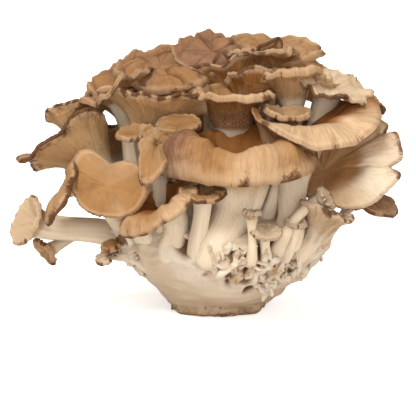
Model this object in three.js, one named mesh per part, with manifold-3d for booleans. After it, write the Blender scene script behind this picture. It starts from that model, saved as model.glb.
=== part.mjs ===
// Oyster mushroom cluster: a solid base block that narrows to a flat cut foot, and the mushrooms that
// grow from it, each with its own stem and cap. Millimetres and degrees, +Z up, +X to the right as the
// cluster is seen from its front, the -Y side. The origin is the centre of the cut foot.
import * as THREE from "three";
import { mergeVertices } from "three/addons/utils/BufferGeometryUtils.js";
import Module from "manifold-3d";

const wasm = await Module();
wasm.setup();

// ---- Driving dimensions --------------------------------------------------------------------------
const CLUSTER_WIDTH = 181; // across the caps, left to right
const CLUSTER_HEIGHT = 127; // from the cut foot to the highest cap
const FOOT_RADIUS = 20; // the flat face that the cluster stands on
const BLOCK_RADIUS = 50; // the base block at its widest
const BLOCK_SHOULDER = 34; // height of the widest place above the foot
const BLOCK_HEIGHT = 52; // top of the base block, under the stems
const ROOT_DEPTH = 5; // how far a stem starts inside the block, before the block trims it
const RIM_THICKNESS = 1.5; // cap flesh at the rim
const STEM_GIRTH = 1; // share of each mushroom's listed stem radius
const STEM_DRAWN_IN = 0.15; // share by which a stem narrows where it ends inside the cap's flesh
const STEM_RIM_RISE = 0.3; // how far into the cap's flesh a stem's last ring ends, as a share of it
const STEM_POLE_RISE = 0.6; // the same for the middle of the stem's end
const STEM_EASE = 0.4; // share of a stem's length over which it keeps its direction at each end
const ROOT_SPREAD_FROM = 0.6; // roots point away from this share of the shoulder's height
const ROOT_UPRIGHT = 0.4; // how far a root turns from there to straight up
const WIDENING_LIMIT = 5; // most that a stem's girth bends in before it widens into the cap
const FLESH_TAPER = 0.7; // below 1, a cap's flesh thins quickly near the neck and slowly at the rim
const NECK_POLE_DROP = 0.5; // depth of the middle of a cap's underside, inside the stem
const GAP = 0.3; // clearance between neighbouring pieces

// The mushrooms are listed for a cluster of this width and height, and follow the two above.
const ACROSS = CLUSTER_WIDTH / 181;
const UPRIGHT = CLUSTER_HEIGHT / 127;

// ---- How finely the pieces are faceted -----------------------------------------------------------
const AROUND_LARGE = 15; // points in a ring of a cap that reaches more than LARGE_REACH
const AROUND_MIDDLE = 11;
const AROUND_SMALL = 8;
const LARGE_REACH = 30;
const MIDDLE_REACH = 14;
const BLOCK_AROUND = 24;
const STEM_RINGS = 3;
const CAP_RINGS = 3;
const PROFILE_STEPS = 24; // steps in which a cap's section is summed
const SMOOTHINGS = [0.12, 0.1, 0.08, 0.05]; // facets closer to flat than this are joined
const SLIVERS = [0.01, 0.02, 0.004]; // the same after a second cut, where it only clears slivers
const HAIRS = [0, 0.005, 0.015, 0.03]; // how far a skin that touches itself may be drawn in
const MEETING = 1e-3; // vertices closer than this are one

const UP = new THREE.Vector3(0, 0, 1);
const radians = THREE.MathUtils.degToRad;
const lerp = THREE.MathUtils.lerp;
const steps = (count, make) => Array.from({ length: count }, (_, k) => make(k));

// Turns run from 0 at the front (-Y) to 90 at the right (+X) and 180 at the back.
const heading = (turn) => new THREE.Vector3(Math.sin(radians(turn)), -Math.cos(radians(turn)), 0);
const leaning = (tilt, turn) =>
  heading(turn)
    .multiplyScalar(Math.sin(radians(tilt)))
    .addScaledVector(UP, Math.cos(radians(tilt)));

// ---- Base block ----------------------------------------------------------------------------------
// Its section as [radius, height], from the foot's edge to the crown.
const blockSection = new THREE.CatmullRomCurve3(
  [
    [FOOT_RADIUS, 0],
    [FOOT_RADIUS + 3, 3],
    [BLOCK_RADIUS * 0.72, BLOCK_SHOULDER * 0.42],
    [BLOCK_RADIUS * 0.93, BLOCK_SHOULDER * 0.75],
    [BLOCK_RADIUS, BLOCK_SHOULDER],
    [BLOCK_RADIUS * 0.86, lerp(BLOCK_SHOULDER, BLOCK_HEIGHT, 0.55)],
    [BLOCK_RADIUS * 0.45, lerp(BLOCK_SHOULDER, BLOCK_HEIGHT, 0.92)],
    [0, BLOCK_HEIGHT],
  ].map(([r, z]) => new THREE.Vector3(r, 0, z)),
);

// A point of the block's skin: level runs from 0 at the foot's edge to 1 at the crown.
function blockPoint(turn, level) {
  const p = blockSection.getPoint(level);
  const swell = Math.sin(Math.PI * Math.min(1, level * 1.2));
  const lumps = 1 + swell * (0.05 * Math.sin(radians(2 * turn + 40)) + 0.04 * Math.sin(radians(5 * turn)));
  return heading(turn)
    .multiplyScalar(p.x * lumps)
    .setZ(p.z);
}

// ---- Skins: rings of points, closed by a pole at each end ----------------------------------------
function skin(startPole, rings, endPole) {
  const around = rings[0].length;
  const points = [startPole, ...rings.flat(), endPole];
  const index = [];
  const at = (ring, k) => 1 + ring * around + (k % around);
  const last = points.length - 1;
  for (let k = 0; k < around; k++) {
    index.push(0, at(0, k + 1), at(0, k));
    index.push(last, at(rings.length - 1, k), at(rings.length - 1, k + 1));
    for (let ring = 0; ring + 1 < rings.length; ring++) {
      index.push(at(ring, k), at(ring, k + 1), at(ring + 1, k + 1));
      index.push(at(ring, k), at(ring + 1, k + 1), at(ring + 1, k));
    }
  }
  const geometry = new THREE.BufferGeometry().setFromPoints(points);
  geometry.setIndex(index);
  geometry.computeVertexNormals();
  return geometry;
}

// The same skin moved outwards by a distance, for cutting a neighbour back with a clearance.
function swollen(geometry, distance) {
  const grown = geometry.clone();
  const position = grown.getAttribute("position");
  const normal = geometry.getAttribute("normal");
  for (let i = 0; i < position.count; i++) {
    position.setXYZ(
      i,
      position.getX(i) + normal.getX(i) * distance,
      position.getY(i) + normal.getY(i) * distance,
      position.getZ(i) + normal.getZ(i) * distance,
    );
  }
  return grown;
}

function baseBlock() {
  const levels = [0, 0.08, 0.22, 0.36, 0.5, 0.62, 0.74, 0.88];
  const ring = (level) => steps(BLOCK_AROUND, (k) => blockPoint((360 * k) / BLOCK_AROUND, level));
  return skin(new THREE.Vector3(0, 0, 0), levels.map(ring), blockPoint(0, 1));
}

// ---- Mushrooms -----------------------------------------------------------------------------------
// A value that changes smoothly from the front of a cap, by its sides, to its back.
function roundabout([front, side, back], angle) {
  const even = (front + back) / 2;
  const tilt = ((front - back) / 2) * Math.cos(angle);
  const pinch = ((even - side) / 2) * Math.cos(2 * angle);
  return (even + side) / 2 + tilt + pinch;
}

// The cap's own directions: axis up through its mouth, front the way its widest side points.
function capFrame({ lean: [tilt, toward], facing }) {
  const axis = leaning(tilt, toward);
  const ahead = heading(facing);
  const front = ahead.addScaledVector(axis, -ahead.dot(axis)).normalize();
  return { axis, front, side: axis.clone().cross(front) };
}

function neckPoint({ neck: [x, y, z] }) {
  return new THREE.Vector3(x * ACROSS, y * ACROSS, z * UPRIGHT);
}

function pointsAround({ reach }) {
  const widest = Math.max(...reach);
  if (widest > LARGE_REACH) {
    return AROUND_LARGE;
  }
  return widest > MIDDLE_REACH ? AROUND_MIDDLE : AROUND_SMALL;
}

// The middle line of a stem, from inside the block up to the neck under the cap.
function spine(m) {
  const [turn, level] = m.root;
  const rootPoint = blockPoint(turn, level);
  const outward = rootPoint.clone().addScaledVector(UP, -BLOCK_SHOULDER * ROOT_SPREAD_FROM).normalize();
  const start = rootPoint.clone().addScaledVector(outward, -ROOT_DEPTH);
  const end = neckPoint(m);
  const handle = start.distanceTo(end) * STEM_EASE;
  const rise = outward.clone().lerp(UP, ROOT_UPRIGHT).normalize();
  const leaving = start.clone().addScaledVector(rise, handle);
  const arriving = end.clone().addScaledVector(capFrame(m).axis, -handle);
  return new THREE.CubicBezierCurve3(start, leaving, arriving, end);
}

// A stem keeps its girth from the root and widens into the cap at the cap's own starting slope.
function stemRadius(m, length, t) {
  const [rootRadius, neckRadius] = m.stem;
  const steepest = 3 * (neckRadius - rootRadius) + WIDENING_LIMIT;
  const widening = Math.min(length * Math.tan(radians(m.flare)), steepest);
  const blend = t * t * (3 - 2 * t);
  return (lerp(rootRadius, neckRadius, blend) + widening * (t ** 3 - t ** 2)) * STEM_GIRTH;
}

function stemRing(m, curve, t) {
  const { front } = capFrame(m);
  const tangent = curve.getTangent(t);
  const ahead = front.clone().addScaledVector(tangent, -front.dot(tangent)).normalize();
  const side = tangent.clone().cross(ahead);
  const breadth = m.stem[2];
  const radius = stemRadius(m, curve.v0.distanceTo(curve.v3), t);
  const around = pointsAround(m);
  return steps(around, (k) => {
    const angle = (2 * Math.PI * k) / around;
    return curve
      .getPoint(t)
      .addScaledVector(ahead, radius * Math.cos(angle))
      .addScaledVector(side, radius * breadth * Math.sin(angle));
  });
}

// The stem's last ring is drawn in and lifted, so that it ends inside the flesh of the cap.
function stemSkin(m) {
  const curve = spine(m);
  const neck = neckPoint(m);
  const { axis } = capFrame(m);
  const below = steps(STEM_RINGS, (k) => stemRing(m, curve, k / STEM_RINGS));
  const inside = stemRing(m, curve, 1).map((point) =>
    point.lerp(neck, STEM_DRAWN_IN).addScaledVector(axis, m.flesh * STEM_RIM_RISE),
  );
  return skin(curve.getPoint(0), [...below, inside], neck.addScaledVector(axis, m.flesh * STEM_POLE_RISE));
}

// One line of the cap's section from the neck to the rim, as points of the underside with the
// direction that the flesh rises in.
function capLine(m, angle) {
  const { axis, front, side } = capFrame(m);
  const [, neckRadius, breadth] = m.stem;
  const outward = front.clone().multiplyScalar(Math.cos(angle)).addScaledVector(side, Math.sin(angle));
  const [wave, waves, waveTurn] = m.waves;
  const [lobe, lobes, lobeTurn] = m.lobes;
  const swell = 1 + lobe * Math.sin(lobes * angle + radians(lobeTurn));
  const stride = (roundabout(m.reach, angle) * swell * ACROSS) / PROFILE_STEPS;
  const rimAngle = roundabout(m.curl, angle) + wave * Math.sin(waves * angle + radians(waveTurn));
  const at = neckPoint(m)
    .addScaledVector(front, neckRadius * STEM_GIRTH * Math.cos(angle))
    .addScaledVector(side, neckRadius * STEM_GIRTH * breadth * Math.sin(angle));
  return steps(PROFILE_STEPS + 1, (step) => {
    const share = step / PROFILE_STEPS;
    const slope = radians(lerp(m.flare, rimAngle, share ** m.bend));
    const flesh = outward.clone().multiplyScalar(-Math.cos(slope)).addScaledVector(axis, Math.sin(slope));
    const point = at.clone();
    at.addScaledVector(outward, Math.sin(slope) * stride).addScaledVector(axis, Math.cos(slope) * stride);
    return { share, point, flesh };
  });
}

function capSkin(m) {
  const around = pointsAround(m);
  const lines = steps(around, (k) => capLine(m, (2 * Math.PI * k) / around));
  const picked = steps(CAP_RINGS + 1, (k) => Math.round((k * PROFILE_STEPS) / CAP_RINGS));
  const under = picked.map((step) => lines.map((line) => line[step].point));
  const over = picked.toReversed().map((step) =>
    lines.map((line) => {
      const { share, point, flesh } = line[step];
      return point.clone().addScaledVector(flesh, lerp(m.flesh, RIM_THICKNESS, share ** FLESH_TAPER));
    }),
  );
  const { axis } = capFrame(m);
  const hollow = neckPoint(m).addScaledVector(axis, m.flesh);
  return skin(neckPoint(m).addScaledVector(axis, -NECK_POLE_DROP), [...under, ...over], hollow);
}

const usual = { waves: [0, 1, 0], lobes: [0, 1, 0], flare: 15, bend: 1.5, flesh: 4.5 };
// Each mushroom. root is [turn, level] on the block, neck is where its stem meets its cap, lean is the
// cap's axis as [tilt, turn] and facing is the turn of its widest side. stem is [root radius, neck
// radius, breadth], reach is the cap's length from neck to rim at [front, side, back], and curl is the
// rim's angle from the axis there: 90 is level, and more rolls it down. flare is that angle at the neck
// and bend is how late the cap turns from one to the other. waves is [degrees, count, turn] of the rim's
// curl, and lobes is [share, count, turn] of its reach.
const mushrooms = [
  // Low on the right.
  { name: "slim_stem", root: [16, 0.56], neck: [14, -50, 53], lean: [5, 0], facing: 0,
    stem: [2.6, 2.6, 1], reach: [2.5, 2.5, 2], curl: [80, 80, 80], flesh: 2 },
  { name: "pale_knob", root: [24, 0.55], neck: [20, -49, 45], lean: [15, 30], facing: 0,
    stem: [2.8, 3, 1], reach: [4, 4, 3], curl: [130, 120, 110], flare: 30, flesh: 2.6 },
  { name: "short_stem", root: [38, 0.57], neck: [34, -42, 47], lean: [8, 40], facing: 0,
    stem: [3.2, 3, 1], reach: [2.5, 2.5, 2], curl: [80, 80, 80], flesh: 2.2 },
  { name: "slanted_stem", root: [31, 0.6], neck: [44, -39, 59], lean: [62, 80], facing: 85,
    stem: [3.2, 3, 1], reach: [6, 5, 4], curl: [60, 60, 60], flesh: 2.2 },
  { name: "low_fan", root: [52, 0.54], neck: [44, -34, 43], lean: [28, 60], facing: 10,
    stem: [3.5, 4, 1.2], reach: [18, 15, 9], curl: [45, 60, 60], flesh: 3, waves: [10, 3, 20] },
  // Front row, with the left side.
  { name: "front_funnel", root: [-5, 0.58], neck: [7, -34, 59], lean: [4, 180], facing: 0,
    stem: [5, 9, 1.45], reach: [42, 46, 34], curl: [168, 130, 26], bend: 2.6, flare: 20, flesh: 5,
      waves: [6, 3, 30] },
  { name: "right_band", root: [42, 0.66], neck: [33, -22, 70], lean: [8, 150], facing: 10,
    stem: [5.5, 7, 1.35], reach: [38, 38, 20], curl: [125, 90, 50], bend: 2.4, flare: 22, flesh: 5,
      waves: [8, 3, 40] },
  { name: "right_fold", root: [66, 0.6], neck: [46, -16, 66], lean: [48, -14], facing: 86,
    stem: [6, 6.5, 1.1], reach: [32, 12, 5], curl: [95, 85, 80], bend: 1.2, flare: 50, flesh: 4.5,
      waves: [8, 3, 120], lobes: [0.06, 4, 90] },
  { name: "right_tail", root: [88, 0.5], neck: [60, -18, 52], lean: [40, 62], facing: 98,
    stem: [2.5, 2.5, 1], reach: [22, 4, 4], curl: [135, 90, 70], flesh: 2.5 },
  { name: "front_left_curl", root: [-30, 0.6], neck: [-21, -40, 52], lean: [32, -74], facing: -5,
    stem: [5, 5.5, 1.2], reach: [22, 15, 12], curl: [172, 125, 60], bend: 2, flare: 20, waves: [6, 3, 0] },
  { name: "little_front_fan", root: [-13, 0.6], neck: [-8, -47, 61], lean: [14, 0], facing: 0,
    stem: [4.2, 4, 1.1], reach: [8, 7, 4], curl: [118, 105, 80], flare: 25, flesh: 3 },
  { name: "left_heart", root: [-45, 0.62], neck: [-50, -40, 66], lean: [70, -12], facing: -12,
    stem: [4.5, 4.5, 1.2], reach: [9, 12, 11], curl: [112, 100, 90], bend: 1, flare: 62, flesh: 4,
      lobes: [0.06, 2, 90] },
  { name: "left_edge", root: [-62, 0.6], neck: [-65, -27, 63], lean: [67, -92], facing: -92,
    stem: [4.5, 4.5, 1.2], reach: [19, 13, 13], curl: [130, 150, 125], bend: 1.4, flare: 30, flesh: 3.5,
      waves: [8, 3, 60] },
  { name: "left_low_trumpet", root: [-80, 0.54], neck: [-84, -14, 43], lean: [66, -62], facing: -80,
    stem: [6, 6, 1.2], reach: [9, 8, 7], curl: [84, 80, 75], flare: 18, flesh: 4, waves: [6, 3, 0] },
  { name: "left_tip", root: [-98, 0.54], neck: [-78, -7, 30], lean: [112, -55], facing: -40,
    stem: [3, 3, 1], reach: [7, 6, 4], curl: [95, 90, 85], flesh: 2.5 },
  { name: "left_wing", root: [-98, 0.62], neck: [-55, 3, 64], lean: [42, -112], facing: -70,
    stem: [5.5, 6, 1.3], reach: [34, 28, 18], curl: [74, 48, 60], bend: 1.2, flare: 18, flesh: 4,
      waves: [12, 4, 0], lobes: [0.12, 4, 60] },
  { name: "left_far_fan", root: [-115, 0.62], neck: [-68, 14, 80], lean: [26, 190], facing: -10,
    stem: [4.5, 4.5, 1.2], reach: [14, 14, 10], curl: [50, 72, 60], bend: 1.2, flesh: 3.5,
      waves: [8, 4, 0] },
  { name: "left_lobe", root: [-35, 0.68], neck: [-28, -34, 84], lean: [56, -8], facing: -12,
    stem: [4, 3.6, 1], reach: [24, 4, 4], curl: [118, 90, 70], bend: 1, flare: 20, flesh: 3.2 },
  { name: "small_tan", root: [-50, 0.74], neck: [-37, -25, 84], lean: [10, -40], facing: -50,
    stem: [2.6, 2.6, 1], reach: [9, 8, 6], curl: [125, 115, 95], flare: 25, flesh: 2.5 },
  { name: "small_button", root: [-30, 0.8], neck: [-19, -28, 89], lean: [8, -10], facing: -10,
    stem: [3.2, 3.4, 1], reach: [6, 7, 6], curl: [150, 140, 120], flare: 25, flesh: 3 },
  { name: "shoulder_fan", root: [-60, 0.78], neck: [-31, -6, 79], lean: [8, 160], facing: -35,
    stem: [5.5, 6, 1.3], reach: [28, 30, 20], curl: [48, 78, 70], bend: 1.3, flare: 18, flesh: 4.5,
      waves: [10, 4, 0], lobes: [0.06, 5, 0] },
  // Middle cups.
  { name: "centre_left_cup", root: [-5, 0.84], neck: [6, -9, 87], lean: [6, 0], facing: 0,
    stem: [5, 6, 1.4], reach: [24, 20, 20], curl: [110, 98, 90], bend: 4, flare: 20, flesh: 4.5,
      waves: [10, 3, 0] },
  { name: "small_shelf", root: [40, 0.78], neck: [30, -20, 90], lean: [8, 30], facing: 10,
    stem: [3.5, 4, 1.2], reach: [9, 9, 6], curl: [115, 105, 90], bend: 3, flare: 25, flesh: 3 },
  { name: "centre_cup", root: [20, 0.9], neck: [16, -2, 96], lean: [4, 180], facing: 0,
    stem: [5, 5.2, 1.1], reach: [21, 14, 14], curl: [40, 58, 60], bend: 1.3, flare: 18, flesh: 4 },
  { name: "right_cup", root: [45, 0.85], neck: [33, -7, 99], lean: [6, -60], facing: 10,
    stem: [4.5, 5.2, 1.1], reach: [22, 15, 14], curl: [125, 105, 90], bend: 4, flare: 18, flesh: 4 },
  { name: "under_cup", root: [-20, 0.93], neck: [8, 6, 94], lean: [22, -145], facing: 0,
    stem: [4.5, 5, 1.3], reach: [22, 27, 15], curl: [56, 66, 65], bend: 1.5, flare: 18, flesh: 4,
      waves: [6, 4, 0] },
  // Crown.
  { name: "top_left_curl", root: [-100, 0.75], neck: [-47, 8, 96], lean: [26, -115], facing: -45,
    stem: [4, 4.5, 1.2], reach: [15, 20, 12], curl: [105, 92, 80], bend: 0.9, flare: 40, flesh: 3.5,
      waves: [8, 4, 0] },
  { name: "top_left_cap", root: [-120, 0.75], neck: [-45, 14, 105], lean: [16, -40], facing: -60,
    stem: [4, 4.5, 1.2], reach: [12, 11, 12], curl: [125, 115, 100], bend: 1, flare: 68, flesh: 3.5,
      waves: [10, 5, 0] },
  { name: "top_ridge_cap", root: [-140, 0.84], neck: [-28, 14, 112], lean: [12, -10], facing: -10,
    stem: [4.5, 5, 1.2], reach: [14, 16, 15], curl: [130, 115, 105], bend: 1, flare: 68, flesh: 4,
      waves: [8, 4, 40] },
  { name: "top_wrinkled_cap", root: [-170, 0.92], neck: [-4, 14, 118], lean: [18, 0], facing: 0,
    stem: [4.5, 5, 1.2], reach: [11, 11, 13], curl: [150, 135, 115], bend: 1, flare: 68, flesh: 4.5,
      waves: [5, 3, 0] },
  { name: "top_right_cap", root: [150, 0.88], neck: [24, 30, 116], lean: [7, 10], facing: 20,
    stem: [4.5, 5, 1.3], reach: [15, 20, 16], curl: [115, 108, 100], bend: 1, flare: 70, flesh: 4,
      waves: [6, 5, 20] },
  { name: "top_tier_cap", root: [120, 0.93], neck: [20, 9, 110], lean: [8, 180], facing: 10,
    stem: [3.6, 4, 1.2], reach: [15, 15, 9], curl: [72, 80, 80], bend: 1, flare: 30, flesh: 3,
      waves: [8, 4, 0] },
  { name: "right_top_cap", root: [100, 0.85], neck: [39, 10, 109], lean: [16, 50], facing: 50,
    stem: [4, 4.5, 1.2], reach: [14, 13, 11], curl: [118, 112, 100], bend: 1, flare: 60, flesh: 3.5,
      waves: [10, 5, 0] },
  { name: "right_torn_cap", root: [72, 0.8], neck: [50, -3, 102], lean: [22, 60], facing: 40,
    stem: [4.5, 5.5, 1.3], reach: [15, 14, 10], curl: [96, 94, 80], bend: 0.9, flare: 36, flesh: 4,
      waves: [12, 5, 20] },
  { name: "right_under_cap", root: [90, 0.7], neck: [58, 12, 80], lean: [50, 88], facing: 60,
    stem: [4, 4, 1.2], reach: [16, 15, 10], curl: [80, 80, 70], flare: 25, flesh: 3.5, waves: [12, 4, 0] },
  { name: "right_small_cap", root: [100, 0.7], neck: [63, 14, 93], lean: [40, 85], facing: 80,
    stem: [3, 3.2, 1], reach: [13, 10, 6], curl: [100, 95, 80], flesh: 2.5 },
  // Low on the left.
  { name: "left_shred_upper", root: [-56, 0.53], neck: [-45, -29, 37], lean: [60, -50], facing: -55,
    stem: [2.2, 2, 1], reach: [9, 2, 2], curl: [70, 60, 60], flesh: 1.6 },
  { name: "left_shred_lower", root: [-55, 0.48], neck: [-48, -26, 31], lean: [60, -50], facing: -50,
    stem: [3, 2.5, 1], reach: [8, 3, 3], curl: [80, 70, 70], flesh: 2 },
  // Back.
  { name: "back_left_trumpet", root: [-130, 0.58], neck: [-46, 38, 62], lean: [52, -130], facing: -130,
    stem: [5, 5.5, 1.3], reach: [26, 25, 16], curl: [120, 105, 80], flare: 18, flesh: 4,
      waves: [12, 3, 0], lobes: [0.08, 4, 0] },
  { name: "back_funnel", root: [180, 0.6], neck: [-4, 42, 66], lean: [28, 180], facing: 180,
    stem: [6.5, 6.5, 1.4], reach: [32, 34, 22], curl: [135, 115, 65], bend: 2, flare: 20, flesh: 5,
      waves: [14, 3, 0], lobes: [0.06, 4, 0] },
  { name: "back_right_funnel", root: [140, 0.6], neck: [38, 36, 66], lean: [38, 140], facing: 140,
    stem: [6, 6, 1.4], reach: [30, 30, 18], curl: [130, 110, 70], bend: 2, flare: 20, flesh: 4.5,
      waves: [12, 4, 50], lobes: [0.06, 3, 0] },
  { name: "right_back_fan", root: [112, 0.58], neck: [54, 14, 62], lean: [55, 112], facing: 112,
    stem: [5, 5, 1.3], reach: [24, 22, 14], curl: [110, 100, 75], flare: 18, flesh: 4, waves: [12, 4, 0],
      lobes: [0.08, 3, 0] },
  { name: "back_left_shelf", root: [-150, 0.68], neck: [-42, 34, 82], lean: [20, -150], facing: -120,
    stem: [5, 5.5, 1.2], reach: [22, 22, 20], curl: [110, 100, 85], flare: 22, flesh: 4,
      waves: [12, 4, 0], lobes: [0.07, 5, 0] },
  { name: "back_right_shelf", root: [160, 0.7], neck: [24, 44, 85], lean: [20, 160], facing: 160,
    stem: [5, 5.5, 1.2], reach: [23, 24, 18], curl: [115, 105, 85], flare: 22, flesh: 4,
      waves: [12, 5, 0], lobes: [0.07, 4, 0] },
  { name: "back_low_cap", root: [165, 0.52], neck: [12, 54, 46], lean: [60, 165], facing: 165,
    stem: [4, 4.5, 1.2], reach: [17, 16, 10], curl: [120, 105, 80], flesh: 3.5, waves: [10, 4, 0] },
  { name: "back_low_left_cap", root: [-160, 0.52], neck: [-20, 52, 45], lean: [60, -160], facing: -160,
    stem: [4, 4.5, 1.2], reach: [17, 16, 10], curl: [120, 105, 80], flesh: 3.5, waves: [10, 4, 60] },
];

// ---- Solids --------------------------------------------------------------------------------------
function solid(geometry) {
  const mesh = new wasm.Mesh({
    numProp: 3,
    vertProperties: Float32Array.from(geometry.getAttribute("position").array),
    triVerts: Uint32Array.from(geometry.getIndex().array),
  });
  return new wasm.Manifold(mesh);
}

const withClearance = (geometry) => solid(swollen(geometry, GAP)).add(solid(geometry));

function skinOf(body) {
  const { vertProperties, triVerts } = body.getMesh();
  const geometry = new THREE.BufferGeometry();
  geometry.setAttribute("position", new THREE.BufferAttribute(Float32Array.from(vertProperties), 3));
  geometry.setIndex(new THREE.BufferAttribute(Uint32Array.from(triVerts), 1));
  geometry.computeVertexNormals();
  return geometry;
}

// The shells of a skin, as lists of triangle corners: triangles that share an edge are in one shell,
// so a sealed hollow is a shell of its own.
function shells(index) {
  const parent = steps(index.length / 3, (k) => k);
  const find = (k) => (parent[k] === k ? k : (parent[k] = find(parent[k])));
  const owner = new Map();
  for (let corner = 0; corner < index.length; corner++) {
    const face = Math.floor(corner / 3);
    const ends = [index[corner], index[3 * face + ((corner + 1) % 3)]];
    const edge = `${Math.min(...ends)},${Math.max(...ends)}`;
    if (owner.has(edge)) {
      parent[find(face)] = find(owner.get(edge));
    }
    owner.set(edge, face);
  }
  const found = new Map();
  parent.forEach((_, face) => {
    const corners = found.get(find(face)) ?? [];
    corners.push(index[3 * face], index[3 * face + 1], index[3 * face + 2]);
    found.set(find(face), corners);
  });
  return [...found.values()];
}

// The largest body alone, with no sealed hollow inside it.
function largest(body) {
  const geometry = skinOf(body);
  const whole = shells(geometry.getIndex().array).map((corners) => {
    const shell = new THREE.BufferGeometry();
    shell.setAttribute("position", geometry.getAttribute("position"));
    shell.setIndex(corners);
    return solid(shell);
  });
  return whole.reduce((a, b) => (b.volume() > a.volume() ? b : a));
}

// A skin is closed if every edge is run once each way.
function isClosed(geometry) {
  const index = geometry.getIndex().array;
  const edges = new Set();
  index.forEach((start, corner) => {
    const face = corner - (corner % 3);
    edges.add(`${start},${index[face + ((corner + 1) % 3)]}`);
  });
  const paired = [...edges].every((edge) => edges.has(edge.split(",").reverse().join(",")));
  return paired && edges.size === index.length;
}

// The skin with close vertices made one, and without the facets that this shrinks to nothing.
function merged(geometry) {
  const bare = geometry.clone();
  bare.deleteAttribute("normal");
  const whole = mergeVertices(bare, MEETING);
  const corners = whole.getIndex().array;
  const kept = [];
  for (let t = 0; t < corners.length; t += 3) {
    const [a, b, c] = corners.slice(t, t + 3);
    if (a !== b && b !== c && c !== a) {
      kept.push(a, b, c);
    }
  }
  whole.setIndex(kept);
  return whole;
}

// The body with nearly flat facets joined, by the first tolerance that leaves its skin closed once
// close vertices meet. Where the skin touches itself, it is drawn in by a hair.
function joined(body, tolerances) {
  const skins = tolerances.flatMap((tolerance) => {
    const skin = skinOf(body.simplify(tolerance));
    return HAIRS.map((hair) => merged(swollen(skin, -hair)));
  });
  return largest(solid(skins.find(isClosed)));
}

// Where two pieces meet, the one listed first keeps its shape and the other is cut back. A stem is
// cut only by the block and by earlier stems. A cap also gives way to every other mushroom's stem.
function trimmed(parts, block) {
  return parts.map((part, i) => {
    let stem = part.stem.subtract(block);
    let cap = part.cap.subtract(block);
    parts.forEach((other, j) => {
      if (j < i) {
        stem = stem.subtract(other.grownStem);
        cap = cap.subtract(other.grownCap);
      }
      if (j !== i) {
        cap = cap.subtract(other.grownStem);
      }
    });
    const whole = stem.isEmpty() ? cap : largest(largest(stem).add(cap));
    return joined(whole, SMOOTHINGS);
  });
}

// Joining facets can push a thin rim back into its neighbour, so such pairs are cut once more.
function parted(bodies) {
  bodies.forEach((body, i) => {
    for (let j = i + 1; j < bodies.length; j++) {
      if (body.intersect(bodies[j]).volume() > 0) {
        const cut = bodies[j].subtract(withClearance(skinOf(body)));
        bodies[j] = joined(cut, SLIVERS);
      }
    }
  });
  return bodies;
}

const FLESH_COLOUR = new THREE.Color("#b98d5c");
const BLOCK_COLOUR = new THREE.Color("#e6d6bd");

function piece(name, geometry, colour, roughness) {
  const mesh = new THREE.Mesh(geometry, new THREE.MeshStandardMaterial({ color: colour, roughness }));
  mesh.name = name;
  return mesh;
}

const block = baseBlock();
const parts = mushrooms.map((row) => {
  const m = { ...usual, ...row };
  const stem = stemSkin(m);
  const cap = capSkin(m);
  return {
    stem: solid(stem),
    cap: solid(cap),
    grownStem: withClearance(stem),
    grownCap: withClearance(cap),
  };
});
const bodies = parted(trimmed(parts, withClearance(block)));

const cluster = new THREE.Group();
cluster.name = "oyster_mushroom_cluster";
cluster.add(piece("base_block", block, BLOCK_COLOUR, 0.75));
mushrooms.forEach(({ name }, i) => cluster.add(piece(name, skinOf(bodies[i]), FLESH_COLOUR, 0.7)));

export default cluster;
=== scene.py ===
"""Looks for an oyster mushroom cluster: gilled caps on pale stems, on one solid base block.

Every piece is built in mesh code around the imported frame, in metres, with the frame's own places.
"""

import math

import bpy
import numpy as np
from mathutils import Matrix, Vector


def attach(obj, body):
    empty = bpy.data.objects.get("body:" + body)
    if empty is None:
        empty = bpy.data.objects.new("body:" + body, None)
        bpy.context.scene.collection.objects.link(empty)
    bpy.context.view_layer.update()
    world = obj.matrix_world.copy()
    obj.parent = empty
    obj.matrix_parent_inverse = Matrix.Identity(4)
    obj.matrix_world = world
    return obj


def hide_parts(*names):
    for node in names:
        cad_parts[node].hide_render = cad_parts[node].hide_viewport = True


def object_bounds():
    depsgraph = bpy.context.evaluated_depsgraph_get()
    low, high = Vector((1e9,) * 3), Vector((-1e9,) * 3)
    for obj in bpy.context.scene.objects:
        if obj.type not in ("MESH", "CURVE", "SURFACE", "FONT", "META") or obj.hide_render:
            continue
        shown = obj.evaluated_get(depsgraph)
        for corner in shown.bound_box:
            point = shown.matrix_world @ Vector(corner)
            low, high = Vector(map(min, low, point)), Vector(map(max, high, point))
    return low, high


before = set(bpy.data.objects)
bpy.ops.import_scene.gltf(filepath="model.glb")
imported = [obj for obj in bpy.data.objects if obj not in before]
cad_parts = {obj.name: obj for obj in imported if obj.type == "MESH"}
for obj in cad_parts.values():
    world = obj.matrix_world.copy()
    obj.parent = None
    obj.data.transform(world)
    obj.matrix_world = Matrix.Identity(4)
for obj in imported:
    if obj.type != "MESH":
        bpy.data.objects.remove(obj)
CAD_LOW, CAD_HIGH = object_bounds()

bl_info = {
    "name": "Oyster Mushroom Cluster",
    "version": (1, 0, 0),
    "blender": (4, 5, 0),
    "location": "View3D > Sidebar > Mushrooms",
    "description": "Builds the caps, stems, base and stage of an oyster mushroom cluster",
    "category": "Add Mesh",
}

# ---- Sizes -----------------------------------------------------------------------------------------
# The tables below are in millimetres, for a frame of this width and height.
TABLE_WIDTH = 178.30
TABLE_HEIGHT = 125.42
ACROSS = (CAD_HIGH[0] - CAD_LOW[0]) / TABLE_WIDTH
UPRIGHT = (CAD_HIGH[2] - CAD_LOW[2]) / TABLE_HEIGHT
TO_FRAME = np.array([ACROSS, ACROSS, UPRIGHT])

FOOT_RADIUS = 20.0
BLOCK_RADIUS = 50.0
BLOCK_SHOULDER = 34.0
BLOCK_HEIGHT = 52.0
ROOT_DEPTH = 5.0
RIM_THICKNESS = 1.5

# ---- Fineness --------------------------------------------------------------------------------------
STEM_RINGS = 18
BEND_STEPS = 44  # rings of a cap's underside
EDGE_RINGS = 3  # rings that round off the rim


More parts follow.
